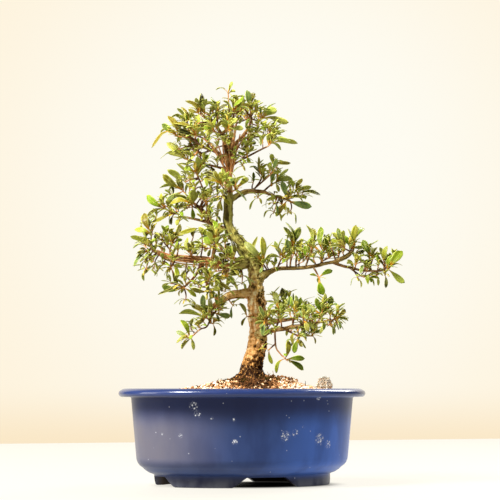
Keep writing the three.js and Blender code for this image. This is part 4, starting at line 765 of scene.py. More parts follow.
class Value:
    """A number that varies over a surface. Sums with it add the Math nodes that work them out."""

    def __init__(self, finish, socket):
        self.finish = finish
        self.socket = socket

    def math(self, operation, *others):
        numbers = dict(enumerate((self, *others)))
        return self.finish.node("Math", {"operation": operation}, numbers)

    def __add__(self, other):
        return self.math("ADD", other)

    def __sub__(self, other):
        return self.math("SUBTRACT", other)

    def __rsub__(self, other):
        return self.math("MULTIPLY", -1).math("ADD", other)

    def __mul__(self, other):
        return self.math("MULTIPLY", other)

    __radd__ = __add__
    __rmul__ = __mul__

    def eased(self, low, high):
        """0 below the low value, 1 above the high one, and smooth between them."""
        ends = {"Value": self, "From Min": low, "From Max": high}
        return self.finish.node("MapRange", {"interpolation_type": "SMOOTHSTEP"}, ends)

    def clamped(self):
        return self.finish.node("Clamp", {}, {0: self})


class Finish:
    """A material, made node by node round its main shader."""

    def __init__(self, name):
        self.material = bpy.data.materials.new(name)
        self.material.use_nodes = True
        self.tree = self.material.node_tree
        self.shader = self.tree.nodes["Principled BSDF"]

    def node(self, kind, settings, inputs, output=0):
        """Adds a node, sets it up, fills or links its sockets, and returns one of its outputs."""
        node = self.tree.nodes.new("ShaderNode" + kind)
        for name, setting in settings.items():
            if name == "stops":
                self.set_stops(node.color_ramp, setting)
            else:
                setattr(node, name, setting)
        for name, given in inputs.items():
            self.fill(node.inputs[name], given)
        return Value(self, node.outputs[output])

    def fill(self, socket, given):
        if isinstance(given, Value):
            self.tree.links.new(given.socket, socket)
        elif socket.type == "RGBA":
            socket.default_value = (*given[:3], 1)
        else:
            socket.default_value = given

    @staticmethod
    def set_stops(ramp, stops):
        while len(ramp.elements) < len(stops):
            ramp.elements.new(1)
        for element, (place, colour) in zip(ramp.elements, stops):
            element.position = place
            element.color = (*colour, 1)

    def place(self):
        return self.node("TexCoord", {}, {}, "Object")

    def attribute(self, name, output="Fac"):
        return self.node("Attribute", {"attribute_name": name}, {}, output)

    def part(self, vector, axis):
        return self.node("SeparateXYZ", {}, {0: vector}, axis)

    def distance(self, place, point):
        return self.node("VectorMath", {"operation": "DISTANCE"}, {0: place, 1: point}, "Value")

    def stretched(self, place, scale):
        return self.node("VectorMath", {"operation": "MULTIPLY"}, {0: place, 1: scale})

    def noise(self, place, scale, detail=2.0, distortion=0.0):
        inputs = {"Vector": place, "Scale": scale, "Detail": detail, "Distortion": distortion}
        return self.node("TexNoise", {}, inputs)

    def cells(self, place, scale, feature="F1"):
        inputs = {"Vector": place, "Scale": scale}
        return self.node("TexVoronoi", {"feature": feature}, inputs, "Distance")

    def ramp(self, place, *stops):
        return self.node("ValToRGB", {"stops": stops}, {0: place})

    def mix(self, share, start, end):
        return self.node("Mix", {"data_type": "RGBA"}, {0: share, 6: start, 7: end}, 2)

    def layers(self, colour, *laid):
        """A colour with others laid over it in turn, each with how far it covers."""
        for share, over in laid:
            colour = self.mix(share, colour, over)
        return colour

    def shade(self, colour, roughness, specular=0.5, relief=None, **others):
        """Fills the main shader's sockets. The relief is a height, its strength and its depth."""
        inputs = {"Base_Color": colour, "Roughness": roughness, "Specular_IOR_Level": specular}
        if relief:
            height, strength, depth = relief
            bump = {"Strength": strength, "Distance": depth * MM, "Height": height}
            inputs["Normal"] = self.node("Bump", {}, bump)
        for name, given in (inputs | others).items():
            self.fill(self.shader.inputs[name.replace("_", " ")], given)
        return self.material


def new_object(name, data):
    made = bpy.data.objects.new(name, data)
    bpy.context.scene.collection.objects.link(made)
    return made


def as_mesh(name, bm):
    """A new mesh of a bmesh, which is used up."""
    mesh = bpy.data.meshes.new(name)
    bm.to_mesh(mesh)
    bm.free()
    return mesh


def add_piece(name, bm, material, replaced=()):
    """Turns a bmesh in millimetres into a finished piece in metres that rides on the part."""
    bmesh.ops.scale(bm, vec=(MM, MM, MM), verts=bm.verts[:])
    mesh = as_mesh(name, bm)
    mesh.materials.append(material)
    piece = new_object(name, mesh)
    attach(piece, "root")
    if replaced:
        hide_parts(*replaced)


def refinish(node, material):
    """Gives a CAD node its material."""
    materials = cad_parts[node].data.materials
    materials.clear()
    materials.append(material)


def shade_smooth(bm, sharp_over=None):
    """Smooth faces, with the edges over an angle in degrees kept sharp."""
    for face in bm.faces:
        face.smooth = True
    if sharp_over is not None:
        for edge in bm.edges:
            edge.smooth = edge.calc_face_angle(0) < radians(sharp_over)


def turn_and_move(bm, verts, turn, place):
    """Turns vertices about the origin and then moves them."""
    bmesh.ops.rotate(bm, verts=verts, cent=ORIGIN, matrix=turn)
    bmesh.ops.translate(bm, verts=verts, vec=place)


def evaluated_bmesh(scratch):
    """The bmesh of a scratch object with its modifiers applied. The object is then removed."""
    seen = scratch.evaluated_get(bpy.context.evaluated_depsgraph_get())
    mesh = bpy.data.meshes.new_from_object(seen)
    bm = bmesh.new()
    bm.from_mesh(mesh)
    bpy.data.meshes.remove(mesh)
    bpy.data.objects.remove(scratch)
    return bm


def scratch_tubes(name, strands, resolution):
    """One curve object with a closed round tube along each strand."""
    curve = bpy.data.curves.new(name, "CURVE")
    curve.dimensions = "3D"
    curve.bevel_depth = 1
    curve.bevel_resolution = resolution
    curve.use_fill_caps = True
    for strand in strands:
        spline = curve.splines.new("POLY")
        spline.points.add(len(strand) - 1)
        for point, sample in zip(spline.points, strand):
            point.co = (*sample.place, 1)
            point.radius = sample.radius
    return new_object(name, curve)


def cad_tree(node):
    """A search tree of a CAD node, in metres."""
    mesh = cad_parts[node].data
    faces = [list(face.vertices) for face in mesh.polygons]
    return BVHTree.FromPolygons([v.co for v in mesh.vertices], faces)


class GrainFinder:
    """Tells, for a place on the wood, how it lies round and along the strand that it belongs to."""

    def __init__(self, strands):
        self.samples = [sample for strand in strands for sample in strand]
        self.tree = KDTree(len(self.samples))
        for k, sample in enumerate(self.samples):
            self.tree.insert(sample.place, k)
        self.tree.balance()

    def find(self, place):
        """The place in its strand's own directions, with the length along it last, and the sample."""
        found = self.tree.find_n(place, 6)
        _, number, _ = min(found, key=lambda hit: hit[2] / self.samples[hit[1]].radius)
        sample = self.samples[number]
        first = sample.tangent.cross(AWAY)
        if first.length < 0.2:
            first = sample.tangent.cross(UP)
        first.normalize()
        second = sample.tangent.cross(first)
        offset = place - sample.place
        along = sample.along + offset.dot(sample.tangent)
        return Vector((offset.dot(first), offset.dot(second), along)), sample


def mark_grain(bm, finder, wear_at=None, relief=None):
    """Stores each vertex's grain, girth and how worn it is, with any painted shade, and raises it
    along its normal.
    """
    grain_mark = bm.verts.layers.float_vector.new("grain")
    girth_mark = bm.verts.layers.float.new("girth")
    wear_mark = bm.verts.layers.float_vector.new("wear")
    bm.normal_update()
    moves = []
    for vert in bm.verts:
        grain, sample = finder.find(vert.co)
        wear = wear_at(vert.co, sample) if wear_at else (0, 0, 0)
        vert[grain_mark] = grain
        vert[girth_mark] = sample.radius
        vert[wear_mark] = wear
        if relief:
            moves.append((vert, vert.normal * relief(vert, grain, sample.radius, wear[0])))
    for vert, move in moves:
        vert.co += move


def to_view(place):
    """Where a place of the part's frame is seen: across, up and depth."""
    turned = VIEW_TURN.transposed() @ (place - Vector((POT_MIDDLE.x, POT_MIDDLE.y, 0)))
    widening = (VIEW_DISTANCE + turned.y) / VIEW_DISTANCE
    across = VIEW_ACROSS + (turned.x - VIEW_ACROSS) / widening
    return across, VIEW_HEIGHT + (turned.z - VIEW_HEIGHT) / widening, turned.y


def wood_wear_and_painted_shade(place, sample):
    """How much the bark has cracks and painted shade, how mossy and how damp it is at a place."""
    across, up, _ = to_view(place)
    middle = min(TRUNK, key=lambda point: abs(point[1] - up))[0]
    girth = sample.radius
    # The right side as the front view sees it gets more cracks, and these also paint shade on it
    side = ease((across - middle) / max(girth, 1), -0.35, 0.6)
    cracks_and_painted_shade = side * ease(girth, *THICK_WOOD)
    cracks_and_painted_shade = cracks_and_painted_shade * ease(up, *CRACKS_START) * (1 - ease(up, *CRACKS_END))
    damp = 1 - ease(up + 7 * noise.noise(place * 0.12), *DAMP_END)
    cracks_and_painted_shade = clamp(max(cracks_and_painted_shade, ease(damp, 0.5, 1)) + 0.5 * noise.noise(place * 0.16), 0, 1)
    mossy = sample.cover if girth < THIN_WOOD else 0
    if girth > TWIG_WOOD:
        mossy = max(mossy, ease(up, *MOSS_START) * (1 - ease(up, *MOSS_END)))
    return cracks_and_painted_shade, mossy, damp


def twig_wear(place, sample):
    """How fresh a twig's skin is: near its tip, and all along the stems that run side by side."""
    return max(sample.cover, ease(sample.share, 0.35, 1)), 0, 0


def knot_rise(place, facing):
    """The height of the scars and swellings that the trunk shows at a place."""
    if facing > 0.2:
        return 0
    across, up, _ = to_view(place)
    rise = 0
    for knot_across, knot_up, radius, height in KNOTS:
        away = hypot(across - knot_across, up - knot_up) / radius
        if away < 2:
            rise += height * exp(-2 * away * away)
            if height < 0:
                rise += 0.9 * exp(-9 * (away - 1.05) ** 2)
    return rise


def bark_relief(vert, grain, girth, painted_shade_and_cracks):
    """How far the bark stands out: long ridges, knots, and flakes where it is weathered."""
    stretched = Vector((grain.x, grain.y, grain.z * 0.3))
    ridge = 1 - 2 * abs(noise.noise(stretched * 0.36))
    fine = noise.noise(stretched * 1.2 + Vector((7, 3, 1)))
    ring = noise.noise(Vector((grain.x * 0.1, grain.y * 0.1, grain.z * 0.3)))
    lump = noise.noise(grain * 0.12)
    gaps, _ = noise.voronoi(Vector((grain.x, grain.y, grain.z * 0.7)) * 0.42)
    flake = ease(gaps[1] - gaps[0], 0.02, 0.45) - 0.55
    most = min(girth * 0.11, 0.9)
    rise = most * (0.55 * ridge + 0.4 * fine + 1.1 * lump + 0.7 * ring + 1.05 * painted_shade_and_cracks * flake)
    if girth > KNOTTED_WOOD:
        rise += knot_rise(vert.co, vert.normal.dot(AWAY))
    return rise


class BONSAI_OT_wood(bpy.types.Operator):
    """Grow the bark over the trunk, its roots and its limbs"""

    bl_idname = "bonsai.wood"
    bl_label = "Trunk and Limbs"

    def execute(self, context):
        settings = context.scene.bonsai_bark
        strands = [route_strand(route) for route in [TRUNK, *ROOTS]]
        for name, route in LIMBS.items():
            strands.append(route_strand(route, LIMB_MOSS.get(name, LIMB_MOSS_USUAL)))
        tubes = evaluated_bmesh(scratch_tubes("wood_tubes", strands, 5))
        skin = new_object("wood_skin", as_mesh("wood_skin", tubes))
        remesh = skin.modifiers.new("skin", "REMESH")
        remesh.mode = "VOXEL"
        remesh.voxel_size = settings.skin_cell / MM
        bm = evaluated_bmesh(skin)
        bmesh.ops.smooth_vert(
            bm, verts=bm.verts[:], factor=0.5, use_axis_x=True, use_axis_y=True, use_axis_z=True)
        mark_grain(bm, GrainFinder(strands), wood_wear_and_painted_shade, bark_relief)
        shade_smooth(bm)
        add_piece("wood", bm, bark_finish(settings), ["trunk"])
        return {"FINISHED"}


def bundled_stems():
    """Thin stems that run side by side along the left limb and up into the crown."""
    chance = random.Random(7 * SEED)
    stretch = LIMBS["left_mid"][2:9]
    last = len(stretch) - 1
    routes = []
    for rise, depth, radius in LEFT_STEMS:
        route = []
        for k, (across, up, away, _) in enumerate(stretch):
            lift = rise * sin(pi * (0.15 + 0.7 * k / last))
            lift -= LEFT_STEM_SAG * sin(pi * k / last)
            route.append((across, up + lift, away + depth, radius))
        routes.append(route)
    for stem in CROWN_STEMS:
        radii = evenly(CROWN_STEM_RADII, stem)
        routes.append([(*point, radius) for point, radius in zip(stem, radii)])
    return [route_strand(route, chance.uniform(0.5, 0.95)) for route in routes]


class BONSAI_OT_twigs(bpy.types.Operator):
    """Grow the fine twigs that carry the leaves, and their buds"""

    bl_idname = "bonsai.twigs"
    bl_label = "Twigs"

    def execute(self, context):
        settings = context.scene.bonsai_bark
        sprays = [*grow_sprays(), *grow_inside()]
        twigs = [twig for spray in sprays for twig in (*spray.twigs, *spray.shoots)]
        strands = bundled_stems()
        for twig in twigs:
            strands.append(smooth_strand(twig.places, evenly(twig.radii, twig.places)))
        bm = evaluated_bmesh(scratch_tubes("twig_tubes", strands, 1))
        mark_grain(bm, GrainFinder(strands), twig_wear)
        shade_smooth(bm)
        add_piece("twigs", bm, twig_finish(settings))
        add_piece("buds", make_buds(twigs), bud_finish(settings))
        return {"FINISHED"}


def make_buds(twigs):
    """A scaly bud at the end of every twig."""
    chance = random.Random(4 * SEED)
    bm = bmesh.new()
    for twig in twigs:
        length = chance.uniform(2.2, 3.6)
        made = bmesh.ops.create_cone(
            bm, segments=6, radius1=0.75, radius2=0.1, depth=length, cap_ends=True)
        turn = twig.heading.to_track_quat("Z", "Y").to_matrix()
        place = twig.places[-1] + twig.heading * (length / 2 - 0.4)
        turn_and_move(bm, made["verts"], turn, place)
    shade_smooth(bm, 50)
    return bm


# A leaf's shade is a painted shade that darkens its tint
Leaf = namedtuple("Leaf", "base tip side width arch age shade", defaults=[1])


def leaf_width(length, girth):
    width = length * LEAF_SLENDERNESS * (0.85 + 0.3 * girth)
    return clamp(width, LEAF_WIDTH_LEAST, LEAF_WIDTH_MOST)


def seen_leaves(tips, twig, row):
    """The leaves that end where the front view shows a tip."""
    leaves = []
    for across, up, breadth, *given in tips:
        lean, girth, bend, roll = (next(row) for _ in range(4))
        base = twig.places[-1]
        tip = from_view(across, up, twig.route[-1][2] + (lean - 0.5) * TIP_DEPTH_SPREAD)
        direction = (tip - base).normalized()
        facing = (AWAY - direction * AWAY.dot(direction)).normalized()
        turned = (1 - breadth) * EDGE_ON_TURN * (-1 if roll < 0.5 else 1)
        side = direction.cross(facing) * cos(turned) + facing * sin(turned)
        width = given[0] if given else leaf_width((tip - base).length, girth)
        # Painted shade: leaves seen edge-on are much darker, broad ones a little
        shade = EDGE_ON_SHADE if breadth < 0.35 else FACE_ON_SHADE
        arch = LEAF_ARCH * (0.5 + bend)
        leaves.append(Leaf(base, tip, side, width, arch, 0.25 + 0.3 * bend, shade))
    return leaves


def leaf_round(twig, around, open_by, length, girth, bend, age, base=None, rise=LEAF_RISE):
    """A leaf that leans away from the twig's heading, at an angle round it."""
    first, second = directions_round(twig.heading)
    outward = first * cos(around) + second * sin(around)
    direction = twig.heading * cos(open_by) + outward * sin(open_by) + UP * rise
    direction.normalize()
    base = base or twig.places[-1]
    side = direction.cross(UP) + outward * LEAF_ROLL * (girth - 0.5)
    tip = base + direction * length
    return Leaf(base, tip, side, leaf_width(length, girth), LEAF_ARCH * (0.5 + bend), age)


def narrowed(leaf, slenderness):
    return leaf._replace(width=(leaf.tip - leaf.base).length * slenderness)


def further_leaves(more, twig, row):
    """Further leaves, set round the twig's end at the golden angle."""
    start = next(row) * tau
    leaves = []
    for k in range(more):
        spread, size, girth, bend = (next(row) for _ in range(4))
        length = LEAF_LENGTH * (0.85 + 0.4 * size)
        around = start + k * GOLDEN_ANGLE
        leaves.append(leaf_round(
            twig, around, lerp(*LEAF_SPREAD, spread), length, girth, bend, 0.25 + 0.3 * bend))
    return leaves


def young_leaves(count, twig, chance):
    """Small upright leaves that open at a twig's end."""
    start = chance.uniform(0, tau)
    leaves = []
    for k in range(count):
        leaf = leaf_round(
            twig, start + k * GOLDEN_ANGLE, chance.uniform(0.1, 0.6),
            chance.uniform(*YOUNG_LEAF_LENGTHS), chance.random(), chance.random(),
            chance.uniform(0.6, 1), rise=YOUNG_LEAF_RISE)
        leaves.append(narrowed(leaf, chance.uniform(0.26, 0.36)))
    return leaves


def rosette(count, shoot, chance):
    """The leaves of a side shoot: grown ones outside and young ones inside."""
    start = chance.uniform(0, tau)
    leaves = []
    for k in range(count):
        inner = k / count
        leaf = leaf_round(
            shoot, start + k * GOLDEN_ANGLE, lerp(*ROSETTE_OPENINGS, inner) * chance.uniform(0.8, 1.1),
            lerp(*ROSETTE_LENGTHS, inner) * chance.uniform(0.75, 1.1), chance.random(),
            chance.random(), lerp(*ROSETTE_AGES, inner) * chance.uniform(0.7, 1.15),
            rise=lerp(*ROSETTE_RISES, inner))
        leaves.append(narrowed(leaf, chance.uniform(0.29, 0.4)))
    return leaves


def lower_leaves(count, twig, chance):
    """Grown leaves a little way down a twig, below its rosette."""
    reach = min(11, (twig.places[-1] - twig.places[-2]).length * 0.9)
    leaves = []
    for _ in range(count):
        base = twig.places[-1] - twig.heading * chance.uniform(0.25, 1) * reach
        leaves.append(leaf_round(
            twig, chance.uniform(0, tau), chance.uniform(0.6, 1.3),
            chance.uniform(*LOWER_LEAF_LENGTHS), chance.random(), chance.random(),
            chance.uniform(0, 0.5), base))
    return leaves


def settled(leaves, twig, tree):
    """The leaves where the part has them: rowed down the twig, and in the depth that is free."""
    placed = []
    for k, leaf in enumerate(leaves):
        tips = [leaf.tip + AWAY * shift for shift in DEPTH_SHIFTS]
        tip = min(tips, key=lambda place: max(tree.find_nearest(place * MM)[3] / MM, NEAR_A_TIP))
        base = leaf.base - twig.heading * LEAF_ROW * ((k + 0.5) / LEAVES_A_ROW)
        placed.append(leaf._replace(base=base, tip=tip))
    return placed


Blade = namedtuple("Blade", "mesh outline")


def make_blade(strips, outline):
    """A flat blade of two skins with a number of strips and a row for each step of its outline."""
    bm = bmesh.new()
    bmesh.ops.create_grid(bm, x_segments=strips, y_segments=len(outline) - 1, size=1)
    bmesh.ops.solidify(bm, geom=bm.faces[:], thickness=1)
    return Blade(as_mesh("blade", bm), outline)


def add_leaf(bm, blade, leaf, thickness, shade, hues, chance):
    """Copies a blade into a bmesh and bends it to a leaf's place, outline, arch and fold."""
    count = len(blade.mesh.vertices)
    bm.from_mesh(blade.mesh)
    bm.verts.ensure_lookup_table()
    marks = bm.verts.layers.float
    blade_mark = bm.verts.layers.float_vector["blade"]
    along = leaf.tip - leaf.base
    length = along.length
    direction = along.normalized()
    across = (leaf.side - direction * leaf.side.dot(direction)).normalized()
    normal = direction.cross(across)
    if normal.z < 0.35 * normal.dot(AWAY):
        across.negate()
        normal.negate()
    fold = chance.uniform(0.08, 0.7)
    twist = chance.uniform(-0.45, 0.45)
    bow = chance.uniform(0.9, 2.5)
    sweep = chance.uniform(-0.07, 0.07) * length
    wave = chance.uniform(-0.05, 0.05) * length
    # The tint is a random tone darkened by painted shade; it picks the shaded, olive or lit colour
    tint = chance.random() * shade * leaf.shade
    drawn = chance.random()
    hue = chance.uniform(0.5, 1)
    if drawn > hues[0]:
        hue = -hue if drawn < sum(hues) else 0
    rows = len(blade.outline) - 1
    for vert in bm.verts[-count:]:
        x, y, z = vert.co
        row = round((y + 1) / 2 * rows)
        t, share = blade.outline[row]
        under = z < -0.5 or z > 0.5
        half = leaf.width * LEAF_WIDTH_KEPT * share / 2
        t += 0.035 * (1 - x * x) if row == rows else 0
        turn = twist * t
        out = across * cos(turn) + normal * sin(turn)
        face = normal * cos(turn) - across * sin(turn)
        rise = bow * leaf.arch * length * sin(pi * t ** 0.85)
        rise += wave * sin(tau * t)
        skin = thickness * (-0.5 if under else 0.5) * (1.6 if row == 0 else 1)
        edge_turn = 1 - 0.5 * x * x
        vert.co = (
            leaf.base + along * t + normal * rise + across * (sweep * t * (1 - t) * 4)
            + out * (half * x * (1 - 0.15 * fold)) + face * (half * abs(x) * fold * edge_turn + skin))
        vert[blade_mark] = (x, t, 0)
        vert[marks["tint"]] = tint
        vert[marks["age"]] = leaf.age
        vert[marks["hue"]] = hue
        vert[marks["under"]] = 1 if under else 0


class BONSAI_OT_leaves(bpy.types.Operator):
    """Set the leaves of every spray"""

    bl_idname = "bonsai.leaves"
    bl_label = "Leaves"

    def execute(self, context):
        settings = context.scene.bonsai_leaf
        finish = leaf_finish(settings)
        grown, young = make_blade(4, GROWN_OUTLINE), make_blade(2, YOUNG_OUTLINE)
        wood = cad_tree("trunk")
        for number, spray in enumerate((*grow_sprays(), *grow_inside())):
            chance = random.Random(SEED + number)
            looks = SPRAY_LOOKS.get(spray.name) or LIMB_LOOKS.get(spray.limb, LIMB_LOOKS_USUAL)
            # Painted shade: each limb's leaves are made lighter or darker, and those inside the
            # foliage darker
            shade = looks[2] * (1 if spray.twigs else settings.inner_shade)
            bm = bmesh.new()
            bm.verts.layers.float_vector.new("blade")
            for mark in ("tint", "age", "hue", "under"):
                bm.verts.layers.float.new(mark)
            for leaf in spray_leaves(spray, draws(SEED + number), chance, settings):
                blade = young if (leaf.tip - leaf.base).length < SHORT_LEAF else grown
                # Painted shade: leaves near the wood, inside the foliage, are darker than those at the
                # outer tips
                away = wood.find_nearest(leaf.tip * MM)[3] / MM
                lit = shade * lerp(NEAR_WOOD_SHADE, AWAY_FROM_WOOD_SHADE, ease(away, 3, 18))
                add_leaf(bm, blade, leaf, settings.thickness / MM, lit, looks[:2], chance)
            bmesh.ops.recalc_face_normals(bm, faces=bm.faces[:])
            shade_smooth(bm)
            stood_for = ["spray_" + spray.name] if spray.twigs else []
            add_piece("leaves_" + spray.name, bm, finish, stood_for)
        for blade in (grown, young):
            bpy.data.meshes.remove(blade.mesh)
        return {"FINISHED"}


def spray_leaves(spray, row, chance, settings):
    """All the leaves of a spray: those that the part has, and the ones between them."""
    tree = cad_tree("spray_" + spray.name) if spray.twigs else None
    small, low = settings.young_leaves, settings.lower_leaves
    if spray.name in OPEN_SPRAYS:
        small, low = 1, 1
    leaves = []
    for twig, (_, tips, *more) in zip(spray.twigs, spray.plans):
        ends = [*seen_leaves(tips, twig, row), *further_leaves(sum(more), twig, row)]
        leaves += settled(ends, twig, tree)
        leaves += young_leaves(small, twig, chance)
        leaves += lower_leaves(low, twig, chance)
    for shoot in spray.shoots:
        leaves += rosette(settings.shoot_leaves, shoot, chance)
    return leaves


def arc(middle, radius, start, end, steps):
    """Points of a profile on an arc, from one angle to another in degrees."""
    points = []
    for k in range(steps + 1):
        angle = radians(lerp(start, end, k / steps))
        points.append((middle[0] + radius * cos(angle), middle[1] + radius * sin(angle)))
    return points


def pot_profile():
    """The pot's section, as distance from the middle and height."""
    rim = RIM_WIDTH / 2
    body_top = rim - LIP_OVERHANG
    body_foot = body_top - BODY_TAPER
    foot = rim - FOOT_SETBACK
    lip_base = POT_HEIGHT - LIP_HEIGHT
    return [
        (0, FLOOR_UNDERSIDE), (foot - FOOT_WIDTH - 1, FLOOR_UNDERSIDE),
        *arc((foot - FOOT_WIDTH + 1.2, 1.2), 1.2, 180, 270, 3),
        *arc((foot - EDGE_ROUND, EDGE_ROUND), EDGE_ROUND, -90, 0, 3),
        *arc((foot + EDGE_ROUND, FOOT_TOP - 1.4), EDGE_ROUND, 180, 100, 3),
        (foot + 5, FOOT_TOP + 1.4), (body_foot - 9, 15.4),
        *arc((body_foot - BELLY_ROUND, 28.5), BELLY_ROUND, -62, -4, 7),
        (lerp(body_foot, body_top, 0.4), lerp(28, lip_base, 0.4)),
        *arc((body_top + EDGE_ROUND, lip_base - 1.5), EDGE_ROUND, 178, 95, 3),
        (body_top + 5, lip_base + 0.5),
        *arc((rim - LIP_ROUND, lip_base + 3.6), LIP_ROUND, -82, 62, 7),
        (rim - 5, POT_HEIGHT - 0.25), (rim - 9, POT_HEIGHT), (rim - 13, POT_HEIGHT - 0.1),
        *arc((body_top - WALL + LIP_INNER_ROUND, POT_HEIGHT - 4), LIP_INNER_ROUND, 100, 180, 4),
        (body_foot - WALL + 0.6, 28),
        *arc((body_foot - WALL - INNER_BELLY_ROUND, 29), INNER_BELLY_ROUND, -8, -80, 5),
        (body_foot - WALL - 16, FLOOR_TOP), (0, FLOOR_TOP),
    ]


def spun(profile, steps):
    """A profile spun round the middle, with its poles and its seam closed."""
    bm = bmesh.new()
    verts = [bm.verts.new((radius, 0, height)) for radius, height in profile]
    edges = [bm.edges.new(pair) for pair in zip(verts, verts[1:])]
    bmesh.ops.spin(
        bm, geom=verts + edges, cent=ORIGIN, axis=UP, dvec=ORIGIN, angle=tau, steps=steps,
        use_merge=True)
    bmesh.ops.remove_doubles(bm, verts=bm.verts[:], dist=0.001)
    bmesh.ops.recalc_face_normals(bm, faces=bm.faces[:])
    return bm


def oval_stretch(from_middle):
    """How many times as long the oval is along X as a round bowl, at a distance from the middle."""
    return 1 + EXTRA_LENGTH / max(from_middle, RIM_WIDTH / 8)


def gap_cutter(foot, top, turn):
    """A bar as long as the pot, with the outline of a gap under its foot ring."""
    corner = 5
    side = degrees(atan2(FOOT_GAP_HEIGHT - corner, (foot - top) / 2))
    middle = (top / 2 - corner, FOOT_GAP_HEIGHT - corner)
    outline = [(foot / 2 + 2, -2), *arc(middle, corner, 90 - side, 90, 5)]
    outline += [(-x, z) for x, z in reversed(outline)]
    bm = bmesh.new()
    face = bm.faces.new([bm.verts.new((x, -RIM_LENGTH / 2, z)) for x, z in outline])
    grown = bmesh.ops.extrude_face_region(bm, geom=[face])
    far = [item for item in grown["geom"] if isinstance(item, bmesh.types.BMVert)]
    bmesh.ops.translate(bm, verts=far, vec=(0, RIM_LENGTH, 0))
    bmesh.ops.rotate(bm, verts=bm.verts[:], cent=ORIGIN, matrix=Matrix.Rotation(turn, 3, "Z"))
    bmesh.ops.recalc_face_normals(bm, faces=bm.faces[:])
    return bm


def drain_cutter(x):
    bm = bmesh.new()
    bmesh.ops.create_cone(
        bm, cap_ends=True, segments=32, radius1=DRAIN_HOLE_RADIUS, radius2=DRAIN_HOLE_RADIUS,
        depth=20)
    bmesh.ops.translate(bm, verts=bm.verts[:], vec=(x, 0, FLOOR_TOP))
    return bm


def cut(bm, cutters):
    """Cuts the cutters out of a solid. All of them are used up."""
    whole = new_object("whole", as_mesh("whole", bm))
    tools = [new_object("cutter", as_mesh("cutter", cutter)) for cutter in cutters]
    for tool in tools:
        modifier = whole.modifiers.new("cut", "BOOLEAN")
        modifier.operation = "DIFFERENCE"
        modifier.solver = "EXACT"
        modifier.object = tool
    result = evaluated_bmesh(whole)
    for tool in tools:
        bpy.data.objects.remove(tool)
    return result


def mark_bare_clay(bm):
    """Marks the underside inside the foot ring, where the potter left no glaze."""
    bare_mark = bm.verts.layers.float.new("bare")
    inner = RIM_WIDTH / 2 - FOOT_SETBACK - FOOT_WIDTH + 1
    for vert in bm.verts:
        from_middle = Vector((vert.co.x - POT_MIDDLE.x, vert.co.y - POT_MIDDLE.y))
        from_middle.x -= clamp(from_middle.x, -EXTRA_LENGTH, EXTRA_LENGTH)
        vert[bare_mark] = 1 if vert.co.z < FLOOR_TOP - 1 and from_middle.length < inner else 0


class BONSAI_OT_pot(bpy.types.Operator):
    """Throw the oval pot and cut its foot ring and drain holes"""

    bl_idname = "bonsai.pot"
    bl_label = "Pot"

    def execute(self, context):
        settings = context.scene.bonsai_pot
        bowl = spun(pot_profile(), settings.steps_round)
        for vert in bowl.verts:
            vert.co.x *= oval_stretch(hypot(vert.co.x, vert.co.y))
        cutters = [
            gap_cutter(*FRONT_GAP, 0), gap_cutter(*END_GAP, pi / 2),
            drain_cutter(-DRAIN_HOLE_OFFSET), drain_cutter(DRAIN_HOLE_OFFSET),
        ]
        bm = cut(bowl, cutters)
        for vert in bm.verts:
            wander = noise.noise(vert.co * 0.018) * settings.unevenness / MM
            vert.co += Vector((vert.co.x, vert.co.y, 0)).normalized() * wander
        bmesh.ops.translate(bm, verts=bm.verts[:], vec=(POT_MIDDLE.x, POT_MIDDLE.y, 0))
        bm.normal_update()
        mark_bare_clay(bm)
        shade_smooth(bm, SHARP_EDGE)
        add_piece("pot_glazed", bm, glaze_finish(settings), ["pot"])
        return {"FINISHED"}


def pebble_template():
    bm = bmesh.new()
    bmesh.ops.create_icosphere(bm, subdivisions=1, radius=1)
    return as_mesh("pebble_template", bm)


def add_pebble(bm, template, place, size, tint, chance):
    """Copies the template into a bmesh as an angular grain."""
    count = len(template.vertices)
    bm.from_mesh(template)
    bm.verts.ensure_lookup_table()
    tint_mark = bm.verts.layers.float["tint"]
    turn = Matrix.Rotation(chance.uniform(0, pi), 3, Vector((
        chance.gauss(0, 1), chance.gauss(0, 1), chance.gauss(0, 1))).normalized())
    scale = Vector((1, chance.uniform(0.6, 1), chance.uniform(0.45, 0.9)))
    for vert in bm.verts[-count:]:
        shaped = vert.co * scale * chance.uniform(0.78, 1.18)
        vert.co = place + turn @ shaped * (size / 2)
        vert[tint_mark] = tint


def fall(tree, x, y):
    """Where a fall from above the pot meets a tree, and how far down that is, in metres."""
    hit, _, _, depth = tree.ray_cast(Vector((x, y, ABOVE_SOIL)) * MM, DOWN)
    return hit, depth


def level_places(count, chance):
    """Places on the soil inside the pot's wall, where no root lies on top."""
    soil = cad_tree("soil")
    wood = cad_tree("trunk")
    places = []
    while len(places) < count:
        reach = SOIL_EDGE * sqrt(chance.random()) * SOIL_SPREAD
        around = chance.uniform(0, tau)
        x = POT_MIDDLE.x + reach * cos(around) * oval_stretch(reach)
        y = POT_MIDDLE.y + reach * sin(around)
        hit, depth = fall(soil, x, y)
        root_hit, root_depth = fall(wood, x, y)
        if hit and not (root_hit and root_depth < depth - ROOT_COVER * MM):
            places.append(hit / MM)
    return places


def clump_places(count, chance):
    """Places all over the clump that stands out of the soil."""
    soil = cad_tree("soil")
    middle = from_view(*SOIL_CLUMP)
    places = []
    for _ in range(count):
        direction = Vector((chance.gauss(0, 1), chance.gauss(0, 1), chance.uniform(-0.2, 1.6)))
        start = middle + direction.normalized() * SOIL_CLUMP_REACH
        hit, _, _, _ = soil.find_nearest(start * MM)
        places.append(hit / MM)
    return places


